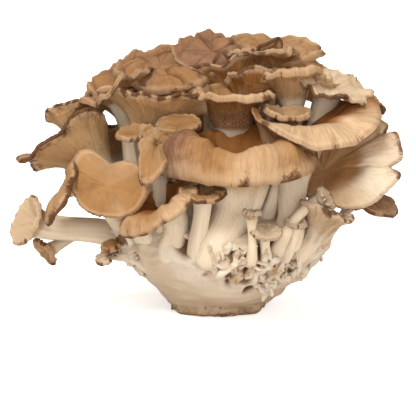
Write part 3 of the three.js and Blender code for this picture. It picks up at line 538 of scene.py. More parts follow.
MUSHROOMS = [
    # Low on the right.
    {"name": "slim_stem", "root": (16, 0.56), "neck": (14, -50, 53), "lean": (5, 0), "facing": 0,
     "stem": (2.6, 2.6, 1), "reach": (2.5, 2.5, 2), "curl": (80, 80, 80), "flesh": 2, "bleach": 0.6,
     "wear": 0.15, "ruffle": 2, "ragged": 0.01},
    {"name": "pale_knob", "root": (24, 0.55), "neck": (20, -49, 45), "lean": (15, 30), "facing": 0,
     "stem": (2.8, 3, 1), "reach": (4, 4, 3), "curl": (130, 120, 110), "flare": 30, "flesh": 2.6,
     "bleach": 0.6, "wear": 0.15, "ruffle": 2, "ragged": 0.01},
    {"name": "short_stem", "root": (38, 0.57), "neck": (34, -42, 47), "lean": (8, 40), "facing": 0,
     "stem": (3.2, 3, 1), "reach": (2.5, 2.5, 2), "curl": (80, 80, 80), "flesh": 2.2, "bleach": 0.6,
     "wear": 0.15, "ruffle": 2, "ragged": 0.01},
    {"name": "slanted_stem", "root": (31, 0.6), "neck": (44, -39, 59), "lean": (62, 80), "facing": 85,
     "stem": (3.2, 3, 1), "reach": (6, 5, 4), "curl": (60, 60, 60), "flesh": 2.2, "bleach": 0.6,
     "wear": 0.15, "ruffle": 2, "ragged": 0.01},
    {"name": "low_fan", "root": (52, 0.54), "neck": (44, -34, 43), "lean": (28, 60), "facing": 10,
     "stem": (3.5, 4, 1.2), "reach": (18, 15, 9), "curl": (45, 60, 60), "flesh": 3, "waves": (10, 3, 20),
     "bleach": 0.35, "tone": 0.2, "painted_under_shade": 0.1},
    # Front row, with the left side.
    {"name": "front_funnel", "root": (-5, 0.58), "neck": (7, -34, 59), "lean": (4, 180), "facing": 0,
     "stem": (5, 9, 1.45), "reach": (42, 46, 34), "curl": (168, 130, 26), "bend": 2.6, "flare": 20,
     "flesh": 5, "waves": (6, 3, 30), "tone": 0.2, "painted_under_shade": 0.3, "wear": 0.35, "wrinkle": 0.9,
     "margin": 0.8, "fold": (0.45, 0.85),
     "around": ((0, 39, 180), (35, 46, 180), (62, 46, 165), (90, 39, 120), (130, 36, 50), (180, 33, 24), (-130, 30, 40), (-95, 44, 130), (-68, 55, 185), (-35, 53, 188), (-15, 42, 180)),
     "splits": ((-24, 4, 0.1),), "ruffle": 4, "hollow": 1,
     "patches": ((-66, 34, 0.95), (-20, 12, 0.3), (75, 22, 0.45)), "lines": 1},
    {"name": "right_band", "root": (42, 0.66), "neck": (33, -22, 70), "lean": (8, 150), "facing": 10,
     "stem": (5.5, 7, 1.35), "reach": (38, 38, 20), "curl": (125, 90, 50), "bend": 2.4, "flare": 22,
     "flesh": 5, "waves": (8, 3, 40), "tone": 0.12, "painted_under_shade": 0.25, "wear": 0.3, "margin": 0.8,
     "fold": (0.4, 0.85),
     "around": ((0, 35, 132), (35, 38, 138), (60, 45, 104), (90, 47, 66), (120, 38, 50), (180, 20, 40), (-120, 22, 30), (-90, 28, 28), (-60, 31, 50), (-30, 34, 100)),
     "splits": ((47, 3, 0.14),), "ruffle": 4, "hollow": 1},
    {"name": "right_fold", "root": (66, 0.6), "neck": (46, -16, 66), "lean": (48, -14), "facing": 86,
     "stem": (6, 6.5, 1.1), "reach": (32, 12, 5), "curl": (95, 85, 80), "bend": 1.2, "flare": 50,
     "flesh": 4.5, "waves": (8, 3, 120), "lobes": (0.06, 4, 90), "tone": 0.2, "painted_under_shade": 0.7, "wear": 0.4,
     "around": ((0, 36, 98), (-20, 33, 112), (-45, 22, 118), (-70, 12, 108), (-90, 8, 95), (180, 4, 80), (130, 6, 75), (90, 13, 75), (60, 24, 78), (37, 31, 82), (18, 36, 88)),
     "ruffle": 8, "ragged": 0.05, "hollow": 0.6, "torn": ((-14, 34, 0.42),),
     "splits": ((-5, 3, 0.2), (22, 2.5, 0.12))},
    {"name": "right_tail", "root": (88, 0.5), "neck": (60, -18, 52), "lean": (40, 62), "facing": 98,
     "stem": (2.5, 2.5, 1), "reach": (22, 4, 4), "curl": (135, 90, 70), "flesh": 2.5, "tone": 0.85,
     "painted_under_shade": 0.8, "wear": 0.7},
    {"name": "front_left_curl", "root": (-30, 0.6), "neck": (-21, -40, 52), "lean": (32, -74),
     "facing": -5, "stem": (5, 5.5, 1.2), "reach": (22, 15, 12), "curl": (172, 125, 60), "bend": 2,
     "flare": 20, "waves": (6, 3, 0), "tone": 0.3, "painted_under_shade": 0.4, "wear": 0.6, "wrinkle": 1, "hollow": 1,
     "around": ((0, 22, 172), (40, 20, 160), (90, 15, 120), (180, 12, 55), (-130, 13, 80), (-95, 20, 165), (-75, 25, 180), (-50, 21, 178), (-25, 20, 174))},
    {"name": "little_front_fan", "root": (-13, 0.6), "neck": (-8, -47, 61), "lean": (14, 0), "facing": 0,
     "stem": (4.2, 4, 1.1), "reach": (8, 7, 4), "curl": (118, 105, 80), "flare": 25, "flesh": 3,
     "tone": 0.35, "painted_under_shade": 0.4, "wear": 0.8},
    {"name": "left_heart", "root": (-45, 0.62), "neck": (-50, -40, 66), "lean": (70, -12), "facing": -12,
     "stem": (4.5, 4.5, 1.2), "reach": (9, 12, 11), "curl": (112, 100, 90), "bend": 1, "flare": 62,
     "flesh": 4, "lobes": (0.06, 2, 90), "tone": 0.42, "painted_under_shade": 0.3, "wear": 0.15,
     "around": ((0, 9, 112), (50, 12, 110), (90, 13, 104), (125, 12, 95), (155, 8, 85), (178, 4, 80), (-165, 9, 85), (-145, 16, 85), (-115, 13, 95), (-90, 12, 104), (-45, 10, 110)),
     "ruffle": 4, "ragged": 0.02, "patches": ((-90, 40, 0.15),), "lines": 0.05, "hollow": 0, "crumple": 0.05},
    {"name": "left_edge", "root": (-62, 0.6), "neck": (-65, -27, 63), "lean": (67, -92), "facing": -92,
     "stem": (4.5, 4.5, 1.2), "reach": (19, 13, 13), "curl": (130, 150, 125), "bend": 1.4, "flare": 30,
     "flesh": 3.5, "waves": (8, 3, 60), "tone": 0.35, "painted_under_shade": 0.3, "wear": 1.1,
     "around": ((0, 19, 130), (40, 16, 140), (90, 13, 150), (140, 12, 130), (180, 12, 125), (-140, 12, 130), (-90, 13, 150), (-40, 16, 140))},
    {"name": "left_low_trumpet", "root": (-80, 0.54), "neck": (-84, -14, 43), "lean": (66, -62),
     "facing": -80, "stem": (6, 6, 1.2), "reach": (9, 8, 7), "curl": (84, 80, 75), "flare": 18, "flesh": 4,
     "waves": (6, 3, 0), "tone": 0.15, "painted_under_shade": 0.1, "wear": 0.2, "bleach": 0.3, "lines": 0.05, "ruffle": 4},
    {"name": "left_tip", "root": (-98, 0.54), "neck": (-78, -7, 30), "lean": (112, -55), "facing": -40,
     "stem": (3, 3, 1), "reach": (7, 6, 4), "curl": (95, 90, 85), "flesh": 2.5, "tone": 0.25, "painted_under_shade": 0.1,
     "wear": 0.5, "ragged": 0.02, "ruffle": 4},
    {"name": "left_wing", "root": (-98, 0.62), "neck": (-55, 3, 64), "lean": (42, -112), "facing": -70,
     "stem": (5.5, 6, 1.3), "reach": (34, 28, 18), "curl": (74, 48, 60), "bend": 1.2, "flare": 18,
     "flesh": 4, "waves": (12, 4, 0), "lobes": (0.12, 4, 60), "tone": 0.6, "painted_under_shade": 0.05, "wear": 0.9},
    {"name": "left_far_fan", "root": (-115, 0.62), "neck": (-68, 14, 80), "lean": (26, 190), "facing": -10,
     "stem": (4.5, 4.5, 1.2), "reach": (14, 14, 10), "curl": (50, 72, 60), "bend": 1.2, "flesh": 3.5,
     "waves": (8, 4, 0), "tone": 0.35, "painted_under_shade": 0.1, "wear": 0.7,
     "around": ((0, 14, 55), (60, 20, 66), (90, 22, 72), (130, 15, 68), (180, 10, 60), (-90, 14, 72), (-45, 14, 62))},
    {"name": "left_lobe", "root": (-35, 0.68), "neck": (-28, -34, 84), "lean": (56, -8), "facing": -12,
     "stem": (4, 3.6, 1), "reach": (24, 4, 4), "curl": (118, 90, 70), "bend": 1, "flare": 20, "flesh": 3.2,
     "tone": 0.35, "painted_under_shade": 0.4, "wear": 0.3,
     "around": ((0, 25, 116), (16, 18, 114), (40, 8, 105), (90, 5, 100), (180, 4, 70), (-90, 4, 100), (-45, 6, 105), (-16, 16, 113)),
     "ragged": 0.06},
    {"name": "small_tan", "root": (-50, 0.74), "neck": (-37, -25, 84), "lean": (10, -40), "facing": -50,
     "stem": (2.6, 2.6, 1), "reach": (9, 8, 6), "curl": (125, 115, 95), "flare": 25, "flesh": 2.5,
     "tone": 0.35, "painted_under_shade": 0.4, "wear": 0.3, "plate": 1, "ruffle": 4, "ragged": 0.02},
    {"name": "small_button", "root": (-30, 0.8), "neck": (-19, -28, 89), "lean": (8, -10), "facing": -10,
     "stem": (3.2, 3.4, 1), "reach": (6, 7, 6), "curl": (150, 140, 120), "flare": 25, "flesh": 3,
     "tone": 0.5, "painted_under_shade": 0.4, "wear": 0.5, "margin": 1.2, "plate": 1, "ruffle": 4, "ragged": 0.02},
    {"name": "shoulder_fan", "root": (-60, 0.78), "neck": (-31, -6, 79), "lean": (8, 160), "facing": -35,
     "stem": (5.5, 6, 1.3), "reach": (28, 30, 20), "curl": (48, 78, 70), "bend": 1.3, "flare": 18,
     "flesh": 4.5, "waves": (10, 4, 0), "lobes": (0.06, 5, 0), "tone": 0.6, "painted_under_shade": 0.3, "wear": 0.6,
     "margin": 0.9},
    # Middle cups.
    {"name": "centre_left_cup", "root": (-5, 0.84), "neck": (6, -9, 87), "lean": (6, 0), "facing": 0,
     "stem": (5, 6, 1.4), "reach": (24, 20, 20), "curl": (110, 98, 90), "bend": 4, "flare": 20,
     "flesh": 4.5, "waves": (10, 3, 0), "tone": 0.3, "painted_under_shade": 1, "wear": 0.35, "margin": 1.6, "plate": 1,
     "ruffle": 4, "ragged": 0.02},
    {"name": "small_shelf", "root": (40, 0.78), "neck": (30, -20, 90), "lean": (8, 30), "facing": 10,
     "stem": (3.5, 4, 1.2), "reach": (9, 9, 6), "curl": (115, 105, 90), "bend": 3, "flare": 25, "flesh": 3,
     "tone": 0.25, "painted_under_shade": 0.3, "wear": 0.2, "margin": 1.2, "plate": 1, "ruffle": 4, "ragged": 0.02},
    {"name": "centre_cup", "root": (20, 0.9), "neck": (16, -2, 96), "lean": (4, 180), "facing": 0,
     "stem": (5, 5.2, 1.1), "reach": (21, 14, 14), "curl": (40, 58, 60), "bend": 1.3, "flare": 18,
     "flesh": 4, "tone": 0.4, "painted_under_shade": 1, "wear": 0.3},
    {"name": "right_cup", "root": (45, 0.85), "neck": (33, -7, 99), "lean": (6, -60), "facing": 10,
     "stem": (4.5, 5.2, 1.1), "reach": (22, 15, 14), "curl": (125, 105, 90), "bend": 4, "flare": 18,
     "flesh": 4, "tone": 0.3, "painted_under_shade": 0.4, "wear": 0.2, "margin": 1.4, "plate": 1, "ruffle": 4,
     "ragged": 0.02},
    {"name": "under_cup", "root": (-20, 0.93), "neck": (8, 6, 94), "lean": (22, -145), "facing": 0,
     "stem": (4.5, 5, 1.3), "reach": (22, 27, 15), "curl": (56, 66, 65), "bend": 1.5, "flare": 18,
     "flesh": 4, "waves": (6, 4, 0), "tone": 0.7, "painted_under_shade": 0.9, "wear": 0.7,
     "around": ((0, 22, 56), (60, 30, 62), (90, 35, 72), (120, 29, 68), (180, 15, 65), (-90, 31, 66), (-45, 26, 60))},
    # Crown.
    {"name": "top_left_curl", "root": (-100, 0.75), "neck": (-47, 8, 96), "lean": (26, -115),
     "facing": -45, "stem": (4, 4.5, 1.2), "reach": (15, 20, 12), "curl": (105, 92, 80), "bend": 0.9,
     "flare": 40, "flesh": 3.5, "waves": (8, 4, 0), "tone": 0.75, "painted_under_shade": 0.7, "wear": 0.35, "wrinkle": 1,
     "crumple": 0.5, "lines": 0.4, "ruffle": 4, "ragged": 0.02, "margin": 1.1},
    {"name": "top_left_cap", "root": (-120, 0.75), "neck": (-45, 14, 105), "lean": (16, -40),
     "facing": -60, "stem": (4, 4.5, 1.2), "reach": (12, 11, 12), "curl": (125, 115, 100), "bend": 1,
     "flare": 68, "flesh": 3.5, "waves": (10, 5, 0), "tone": 0.65, "painted_under_shade": 0.6, "wear": 0.35, "wrinkle": 1,
     "crumple": 0.5, "lines": 0.4, "ruffle": 4, "ragged": 0.02, "margin": 1.1},
    {"name": "top_ridge_cap", "root": (-140, 0.84), "neck": (-28, 14, 112), "lean": (12, -10),
     "facing": -10, "stem": (4.5, 5, 1.2), "reach": (14, 16, 15), "curl": (130, 115, 105), "bend": 1,
     "flare": 68, "flesh": 4, "waves": (8, 4, 40), "tone": 0.75, "painted_under_shade": 0.6, "wear": 0.35, "wrinkle": 1,
     "crumple": 1.1, "lines": 0.4, "ruffle": 4, "ragged": 0.02, "margin": 1.1,
     "around": ((0, 19, 140), (50, 22, 138), (90, 20, 126), (180, 15, 105), (-90, 16, 115), (-45, 16, 125))},
    {"name": "top_wrinkled_cap", "root": (-170, 0.92), "neck": (-4, 14, 118), "lean": (18, 0), "facing": 0,
     "stem": (4.5, 5, 1.2), "reach": (11, 11, 13), "curl": (150, 135, 115), "bend": 1, "flare": 68,
     "flesh": 4.5, "waves": (5, 3, 0), "tone": 0.85, "painted_under_shade": 0.6, "wear": 0.35, "wrinkle": 1.8,
     "crumple": 1.4, "lines": 0.4, "ruffle": 2, "ragged": 0.02, "margin": 1.5},
    {"name": "top_right_cap", "root": (150, 0.88), "neck": (24, 30, 116), "lean": (7, 10), "facing": 20,
     "stem": (4.5, 5, 1.3), "reach": (15, 20, 16), "curl": (115, 108, 100), "bend": 1, "flare": 70,
     "flesh": 4, "waves": (6, 5, 20), "tone": 0.4, "painted_under_shade": 0.5, "wear": 0.35, "wrinkle": 0.8,
     "crumple": 0.4, "lines": 0.4, "ruffle": 4, "ragged": 0.02, "margin": 1.1},
    {"name": "top_tier_cap", "root": (120, 0.93), "neck": (20, 9, 110), "lean": (8, 180), "facing": 10,
     "stem": (3.6, 4, 1.2), "reach": (15, 15, 9), "curl": (72, 80, 80), "bend": 1, "flare": 30, "flesh": 3,
     "waves": (8, 4, 0), "tone": 0.3, "painted_under_shade": 0.9, "wear": 0.35, "wrinkle": 0.9, "crumple": 0.3,
     "lines": 0.4, "ruffle": 4, "ragged": 0.02, "margin": 1.1},
    {"name": "right_top_cap", "root": (100, 0.85), "neck": (39, 10, 109), "lean": (16, 50), "facing": 50,
     "stem": (4, 4.5, 1.2), "reach": (14, 13, 11), "curl": (118, 112, 100), "bend": 1, "flare": 60,
     "flesh": 3.5, "waves": (10, 5, 0), "tone": 0.35, "painted_under_shade": 0.5, "wear": 0.35, "wrinkle": 0.9,
     "crumple": 0.5, "lines": 0.4, "ruffle": 4, "ragged": 0.02, "margin": 1.1},
    {"name": "right_torn_cap", "root": (72, 0.8), "neck": (50, -3, 102), "lean": (22, 60), "facing": 40,
     "stem": (4.5, 5.5, 1.3), "reach": (15, 14, 10), "curl": (96, 94, 80), "bend": 0.9, "flare": 36,
     "flesh": 4, "waves": (12, 5, 20), "tone": 0.08, "painted_under_shade": 0.3, "wear": 0.5, "wrinkle": 1,
     "crumple": 0.5, "lines": 0.4, "bleach": 0.35},
    {"name": "right_under_cap", "root": (90, 0.7), "neck": (58, 12, 80), "lean": (50, 88), "facing": 60,
     "stem": (4, 4, 1.2), "reach": (16, 15, 10), "curl": (80, 80, 70), "flare": 25, "flesh": 3.5,
     "waves": (12, 4, 0), "tone": 0.6, "painted_under_shade": 0.7, "wear": 0.5},
    {"name": "right_small_cap", "root": (100, 0.7), "neck": (63, 14, 93), "lean": (40, 85), "facing": 80,
     "stem": (3, 3.2, 1), "reach": (13, 10, 6), "curl": (100, 95, 80), "flesh": 2.5, "tone": 0.5,
     "painted_under_shade": 0.5, "wear": 0.9},
    # Low on the left.
    {"name": "left_shred_upper", "root": (-56, 0.53), "neck": (-45, -29, 37), "lean": (60, -50),
     "facing": -55, "stem": (2.2, 2, 1), "reach": (9, 2, 2), "curl": (70, 60, 60), "flesh": 1.6,
     "tone": 0.5, "painted_under_shade": 0.4},
    {"name": "left_shred_lower", "root": (-55, 0.48), "neck": (-48, -26, 31), "lean": (60, -50),
     "facing": -50, "stem": (3, 2.5, 1), "reach": (8, 3, 3), "curl": (80, 70, 70), "flesh": 2, "tone": 0.2,
     "painted_under_shade": 0.2, "bleach": 0.6},
    # Back.
    {"name": "back_left_trumpet", "root": (-130, 0.58), "neck": (-46, 38, 62), "lean": (52, -130),
     "facing": -130, "stem": (5, 5.5, 1.3), "reach": (26, 25, 16), "curl": (120, 105, 80), "flare": 18,
     "flesh": 4, "waves": (12, 3, 0), "lobes": (0.08, 4, 0)},
    {"name": "back_funnel", "root": (180, 0.6), "neck": (-4, 42, 66), "lean": (28, 180), "facing": 180,
     "stem": (6.5, 6.5, 1.4), "reach": (32, 34, 22), "curl": (135, 115, 65), "bend": 2, "flare": 20,
     "flesh": 5, "waves": (14, 3, 0), "lobes": (0.06, 4, 0)},
    {"name": "back_right_funnel", "root": (140, 0.6), "neck": (38, 36, 66), "lean": (38, 140),
     "facing": 140, "stem": (6, 6, 1.4), "reach": (30, 30, 18), "curl": (130, 110, 70), "bend": 2,
     "flare": 20, "flesh": 4.5, "waves": (12, 4, 50), "lobes": (0.06, 3, 0)},
    {"name": "right_back_fan", "root": (112, 0.58), "neck": (54, 14, 62), "lean": (55, 112), "facing": 112,
     "stem": (5, 5, 1.3), "reach": (24, 22, 14), "curl": (110, 100, 75), "flare": 18, "flesh": 4,
     "waves": (12, 4, 0), "lobes": (0.08, 3, 0)},
    {"name": "back_left_shelf", "root": (-150, 0.68), "neck": (-42, 34, 82), "lean": (20, -150),
     "facing": -120, "stem": (5, 5.5, 1.2), "reach": (22, 22, 20), "curl": (110, 100, 85), "flare": 22,
     "flesh": 4, "waves": (12, 4, 0), "lobes": (0.07, 5, 0)},
    {"name": "back_right_shelf", "root": (160, 0.7), "neck": (24, 44, 85), "lean": (20, 160),
     "facing": 160, "stem": (5, 5.5, 1.2), "reach": (23, 24, 18), "curl": (115, 105, 85), "flare": 22,
     "flesh": 4, "waves": (12, 5, 0), "lobes": (0.07, 4, 0)},
    {"name": "back_low_cap", "root": (165, 0.52), "neck": (12, 54, 46), "lean": (60, 165), "facing": 165,
     "stem": (4, 4.5, 1.2), "reach": (17, 16, 10), "curl": (120, 105, 80), "flesh": 3.5, "waves": (10, 4, 0)},
    {"name": "back_low_left_cap", "root": (-160, 0.52), "neck": (-20, 52, 45), "lean": (60, -160),
     "facing": -160, "stem": (4, 4.5, 1.2), "reach": (17, 16, 10), "curl": (120, 105, 80), "flesh": 3.5,
     "waves": (10, 4, 60)},
]


# ---- Material nodes --------------------------------------------------------------------------------
class Shades:
    """Short ways to add nodes to one material."""

    def __init__(self, name):
        self.material = bpy.data.materials.new(name)
        self.material.use_nodes = True
        self.tree = self.material.node_tree
        self.surface = self.tree.nodes["Principled BSDF"]

    def put(self, socket, value):
        if isinstance(value, bpy.types.NodeSocket):
            self.tree.links.new(value, socket)
        elif socket.type == "RGBA" and len(value) == 3:
            socket.default_value = (*value, 1.0)
        else:
            socket.default_value = value

    def node(self, kind, output, settings=(), **inputs):
        made = self.tree.nodes.new(kind)
        for key, value in dict(settings).items():
            setattr(made, key, value)
        for key, value in inputs.items():
            self.put(made.inputs[int(key[1:])] if key[0] == "i" and key[1:].isdigit() else made.inputs[key], value)
        return made.outputs[output]

    def attribute(self, name, vector=False):
        return self.node("ShaderNodeAttribute", "Vector" if vector else "Fac", {"attribute_name": name})

    def mix(self, factor, first, second):
        return self.node("ShaderNodeMix", 2, {"data_type": "RGBA"}, i0=factor, i6=first, i7=second)

    def math(self, operation, first, second=0.0):
        return self.node("ShaderNodeMath", 0, {"operation": operation}, i0=first, i1=second)

    def between(self, value, low, high, to_low=0.0, to_high=1.0):
        return self.node(
            "ShaderNodeMapRange", 0, {"interpolation_type": "SMOOTHSTEP"}, i0=value, i1=low, i2=high, i3=to_low, i4=to_high
        )

    def stretched(self, vector, scale):
        return self.node("ShaderNodeVectorMath", 0, {"operation": "MULTIPLY"}, i0=vector, i1=scale)

    def noise(self, vector, scale, detail=4.0, rough=0.55):
        return self.node("ShaderNodeTexNoise", "Fac", Vector=vector, Scale=scale, Detail=detail, Roughness=rough)

    def place(self):
        return self.node("ShaderNodeTexCoord", "Object")

    def bump(self, height, distance, strength=1.0, under=None):
        extra = {"Normal": under} if under is not None else {}
        return self.node("ShaderNodeBump", "Normal", Height=height, Distance=distance, Strength=strength, **extra)


STEM_PALE = (0.71, 0.59, 0.44)
STEM_SHADE = (0.48, 0.34, 0.21)
UNDER_PALE = (0.56, 0.345, 0.165)
# UNDER_DEEP is painted shade on deep undersides and inside funnels, and also the own darker brown of gill streaks and
# stub patches.
UNDER_DEEP = (0.24, 0.082, 0.012)
OVER_LIGHT = (0.60, 0.42, 0.255)
OVER_GOLD = (0.36, 0.185, 0.068)
OVER_BROWN = (0.25, 0.13, 0.074)
# EDGE_BROWN is the own brown of worn rims, scars and mottle, and also painted shade along creases.
EDGE_BROWN = (0.10, 0.036, 0.012)
BLOCK_PALE = (0.66, 0.57, 0.455)
BLOCK_TAN = (0.40, 0.27, 0.155)
SUBSTRATE = (0.17, 0.08, 0.03)
# painted shade in the block's pits
PIT_SHADE_BROWN = (0.13, 0.058, 0.02)


def cap_material():
    """Flesh of stem, gilled underside and upper skin, told apart by the mesh's own attributes, with painted shade on
    deep undersides, inside funnels and along creases.
    """
    s = Shades("oyster_mushroom_flesh")
    part, share = s.attribute("part"), s.attribute("share")
    tone, painted_under_shade, worn = s.attribute("tone"), s.attribute("painted_under_shade"), s.attribute("worn")
    fibre, place = s.attribute("fibre", vector=True), s.place()
    streak = s.noise(s.stretched(fibre, (9.0, 9.0, 1.1)), 2.6, 6.0, 0.62)
    fine = s.noise(s.stretched(fibre, (34.0, 34.0, 1.6)), 2.2, 3.0, 0.6)
    cloud = s.noise(place, 62.0, 4.0, 0.55)
    grain = s.noise(place, 520.0, 3.0, 0.6)

    stem = s.mix(s.between(streak, 0.42, 0.78, 0.0, 0.6), STEM_PALE, STEM_SHADE)
    stem = s.mix(s.math("MULTIPLY", s.between(cloud, 0.5, 0.75), 0.35), stem, UNDER_PALE)

    pale_under = s.mix(s.between(streak, 0.35, 0.7, 0.0, 0.35), UNDER_PALE, UNDER_DEEP)
    # Painted shade: the underside goes deep brown by the cap's underside shade value, and the stem's pale colour
    # reaches less far up it.
    under = s.mix(painted_under_shade, pale_under, s.mix(s.between(fine, 0.4, 0.7, 0.0, 0.5), UNDER_DEEP, UNDER_PALE))
    under = s.mix(s.between(share, 0.84, 0.95, 0.0, 0.75), under, OVER_LIGHT)
    reach_of_stem = s.math("SUBTRACT", 0.3, s.math("MULTIPLY", painted_under_shade, 0.2))
    under = s.mix(s.between(share, 0.0, reach_of_stem), stem, under)
    net = s.node("ShaderNodeTexVoronoi", "Distance", {"feature": "DISTANCE_TO_EDGE"}, Vector=s.stretched(fibre, (9.0, 9.0, 7.0)), Scale=1.6)
    near_neck = s.math("MULTIPLY", s.between(share, 0.0, 0.12), s.between(share, 0.3, 0.7, 1.0, 0.0))
    veins = s.math("MULTIPLY", s.between(net, 0.0, 0.09, 0.55, 0.0), near_neck)
    under = s.mix(veins, under, STEM_PALE)

    golden = s.mix(s.between(tone, 0.0, 0.5), OVER_LIGHT, OVER_GOLD)
    over = s.mix(s.between(tone, 0.5, 1.0), golden, OVER_BROWN)
    darker = s.mix(s.between(tone, 0.2, 0.9), OVER_GOLD, EDGE_BROWN)
    lines = s.attribute("lines")
    over = s.mix(s.math("MULTIPLY", lines, s.between(streak, 0.4, 0.75, 0.0, 0.75)), over, darker)
    over = s.mix(s.between(cloud, 0.5, 0.8, 0.0, 0.45), over, OVER_LIGHT)
    ribs = s.math("MULTIPLY", lines, s.between(share, 0.55, 0.98, 0.25, 1.0))
    over = s.mix(s.math("MULTIPLY", ribs, s.between(fine, 0.48, 0.68, 0.0, 0.7)), over, darker)
    mottle = s.between(s.noise(place, 150.0, 5.0, 0.65), 0.48, 0.7, 0.0, 0.45)
    over = s.mix(s.math("MULTIPLY", mottle, tone), over, EDGE_BROWN)
    # Painted shade along the creases where the skin folds in.
    over = s.mix(s.math("MULTIPLY", s.attribute("crease"), 0.85), over, EDGE_BROWN)
    over = s.mix(s.between(share, 0.8, 0.95, 0.0, 0.35), over, OVER_LIGHT)
    # Painted shade: the inner face of a funnel's upper skin goes deep brown.
    over = s.mix(s.math("MULTIPLY", s.attribute("hollow"), 0.92), over, UNDER_DEEP)

    flesh = s.mix(s.between(part, 1.2, 1.8), under, over)
    flesh = s.mix(s.between(part, 0.0, 0.05, 1.0, 0.0), flesh, stem)
    flesh = s.mix(s.attribute("bleach"), flesh, stem)
    rim = s.between(share, 0.955, 1.0)
    broken = s.between(s.math("ADD", fine, s.math("MULTIPLY", worn, 0.5)), 0.5, 0.85)
    flesh = s.mix(s.math("MULTIPLY", rim, s.between(broken, 0.0, 1.0, 0.25, 0.9)), flesh, EDGE_BROWN)
    scars = s.math("MULTIPLY", worn, s.between(s.noise(place, 240.0, 4.0, 0.7), 0.42, 0.62))
    flesh = s.mix(scars, flesh, EDGE_BROWN)
    s.put(s.surface.inputs["Base Color"], flesh)

    s.put(s.surface.inputs["Roughness"], s.between(cloud, 0.3, 0.7, 0.55, 0.78))
    s.surface.inputs["Specular IOR Level"].default_value = 0.14
    s.surface.inputs["Subsurface Weight"].default_value = 0.12
    s.surface.inputs["Subsurface Radius"].default_value = (0.004, 0.0018, 0.0007)
    s.surface.inputs["Subsurface Scale"].default_value = 1.0
    relief = s.math("ADD", s.math("MULTIPLY", streak, 0.7), s.math("MULTIPLY", fine, 0.6))
    relief = s.math("MULTIPLY", relief, s.between(share, 0.0, 0.5, 0.25, 1.0))
    normal = s.bump(relief, 0.0012, 0.6)
    normal = s.bump(grain, 0.00035, 0.5, under=normal)
    s.put(s.surface.inputs["Normal"], normal)
    return s.material


def stub_material():
    """Pale flesh of the unopened mushrooms, browner at random."""
    s = Shades("oyster_mushroom_stub")
    place = s.place()
    cloud = s.noise(place, 130.0, 4.0, 0.6)
    grain = s.noise(place, 600.0, 3.0, 0.6)
    colour = s.mix(s.between(cloud, 0.40, 0.66), BLOCK_PALE, BLOCK_TAN)
    colour = s.mix(s.between(cloud, 0.60, 0.80, 0.0, 0.6), colour, UNDER_DEEP)
    s.put(s.surface.inputs["Base Color"], colour)
    s.put(s.surface.inputs["Roughness"], s.between(cloud, 0.3, 0.7, 0.6, 0.8))
    s.surface.inputs["Specular IOR Level"].default_value = 0.2
    s.surface.inputs["Subsurface Weight"].default_value = 0.1
    s.surface.inputs["Subsurface Radius"].default_value = (0.004, 0.002, 0.001)
    s.surface.inputs["Subsurface Scale"].default_value = 1.0
    s.put(s.surface.inputs["Normal"], s.bump(grain, 0.0005, 0.6))
    return s.material


def block_material():
    """Off-white flesh, tan in patches and towards the bottom, painted shade in the pits between the stubs, and brown
    growing medium left round the cut foot.
    """
    s = Shades("oyster_mushroom_base")
    place, level = s.place(), s.attribute("level")
    rough, pit = s.attribute("rough"), s.attribute("pit")
    cloud = s.noise(place, 48.0, 4.0, 0.55)
    lines = s.noise(s.stretched(place, (0.35, 0.35, 2.2)), 190.0, 5.0, 0.6)
    grain = s.noise(place, 600.0, 3.0, 0.6)
    colour = s.mix(s.between(cloud, 0.42, 0.72, 0.0, 0.6), BLOCK_PALE, BLOCK_TAN)
    colour = s.mix(s.math("MULTIPLY", rough, s.between(lines, 0.4, 0.65, 0.1, 0.55)), colour, BLOCK_TAN)
    shaded = s.between(s.math("ADD", level, s.math("MULTIPLY", cloud, 0.25)), 0.28, 0.56, 0.75, 0.0)
    colour = s.mix(shaded, colour, BLOCK_TAN)
    # Painted shade in the pits between the stubs.
    colour = s.mix(s.between(pit, 0.15, 0.8, 0.0, 0.92), colour, PIT_SHADE_BROWN)
    low = s.between(s.math("ADD", level, s.math("MULTIPLY", lines, 0.2)), 0.20, 0.30, 1.0, 0.0)
    medium = s.mix(s.between(s.noise(place, 260.0, 4.0, 0.7), 0.42, 0.62), SUBSTRATE, BLOCK_TAN)
    colour = s.mix(s.math("MULTIPLY", low, 0.9), colour, medium)
    s.put(s.surface.inputs["Base Color"], colour)
    s.put(s.surface.inputs["Roughness"], s.between(cloud, 0.3, 0.7, 0.6, 0.85))
    s.surface.inputs["Specular IOR Level"].default_value = 0.25
    s.surface.inputs["Subsurface Weight"].default_value = 0.1
    s.surface.inputs["Subsurface Radius"].default_value = (0.004, 0.002, 0.001)
    s.surface.inputs["Subsurface Scale"].default_value = 1.0
    normal = s.bump(lines, 0.0009, 0.5)
    s.put(s.surface.inputs["Normal"], s.bump(grain, 0.0003, 0.5, under=normal))
    return s.material


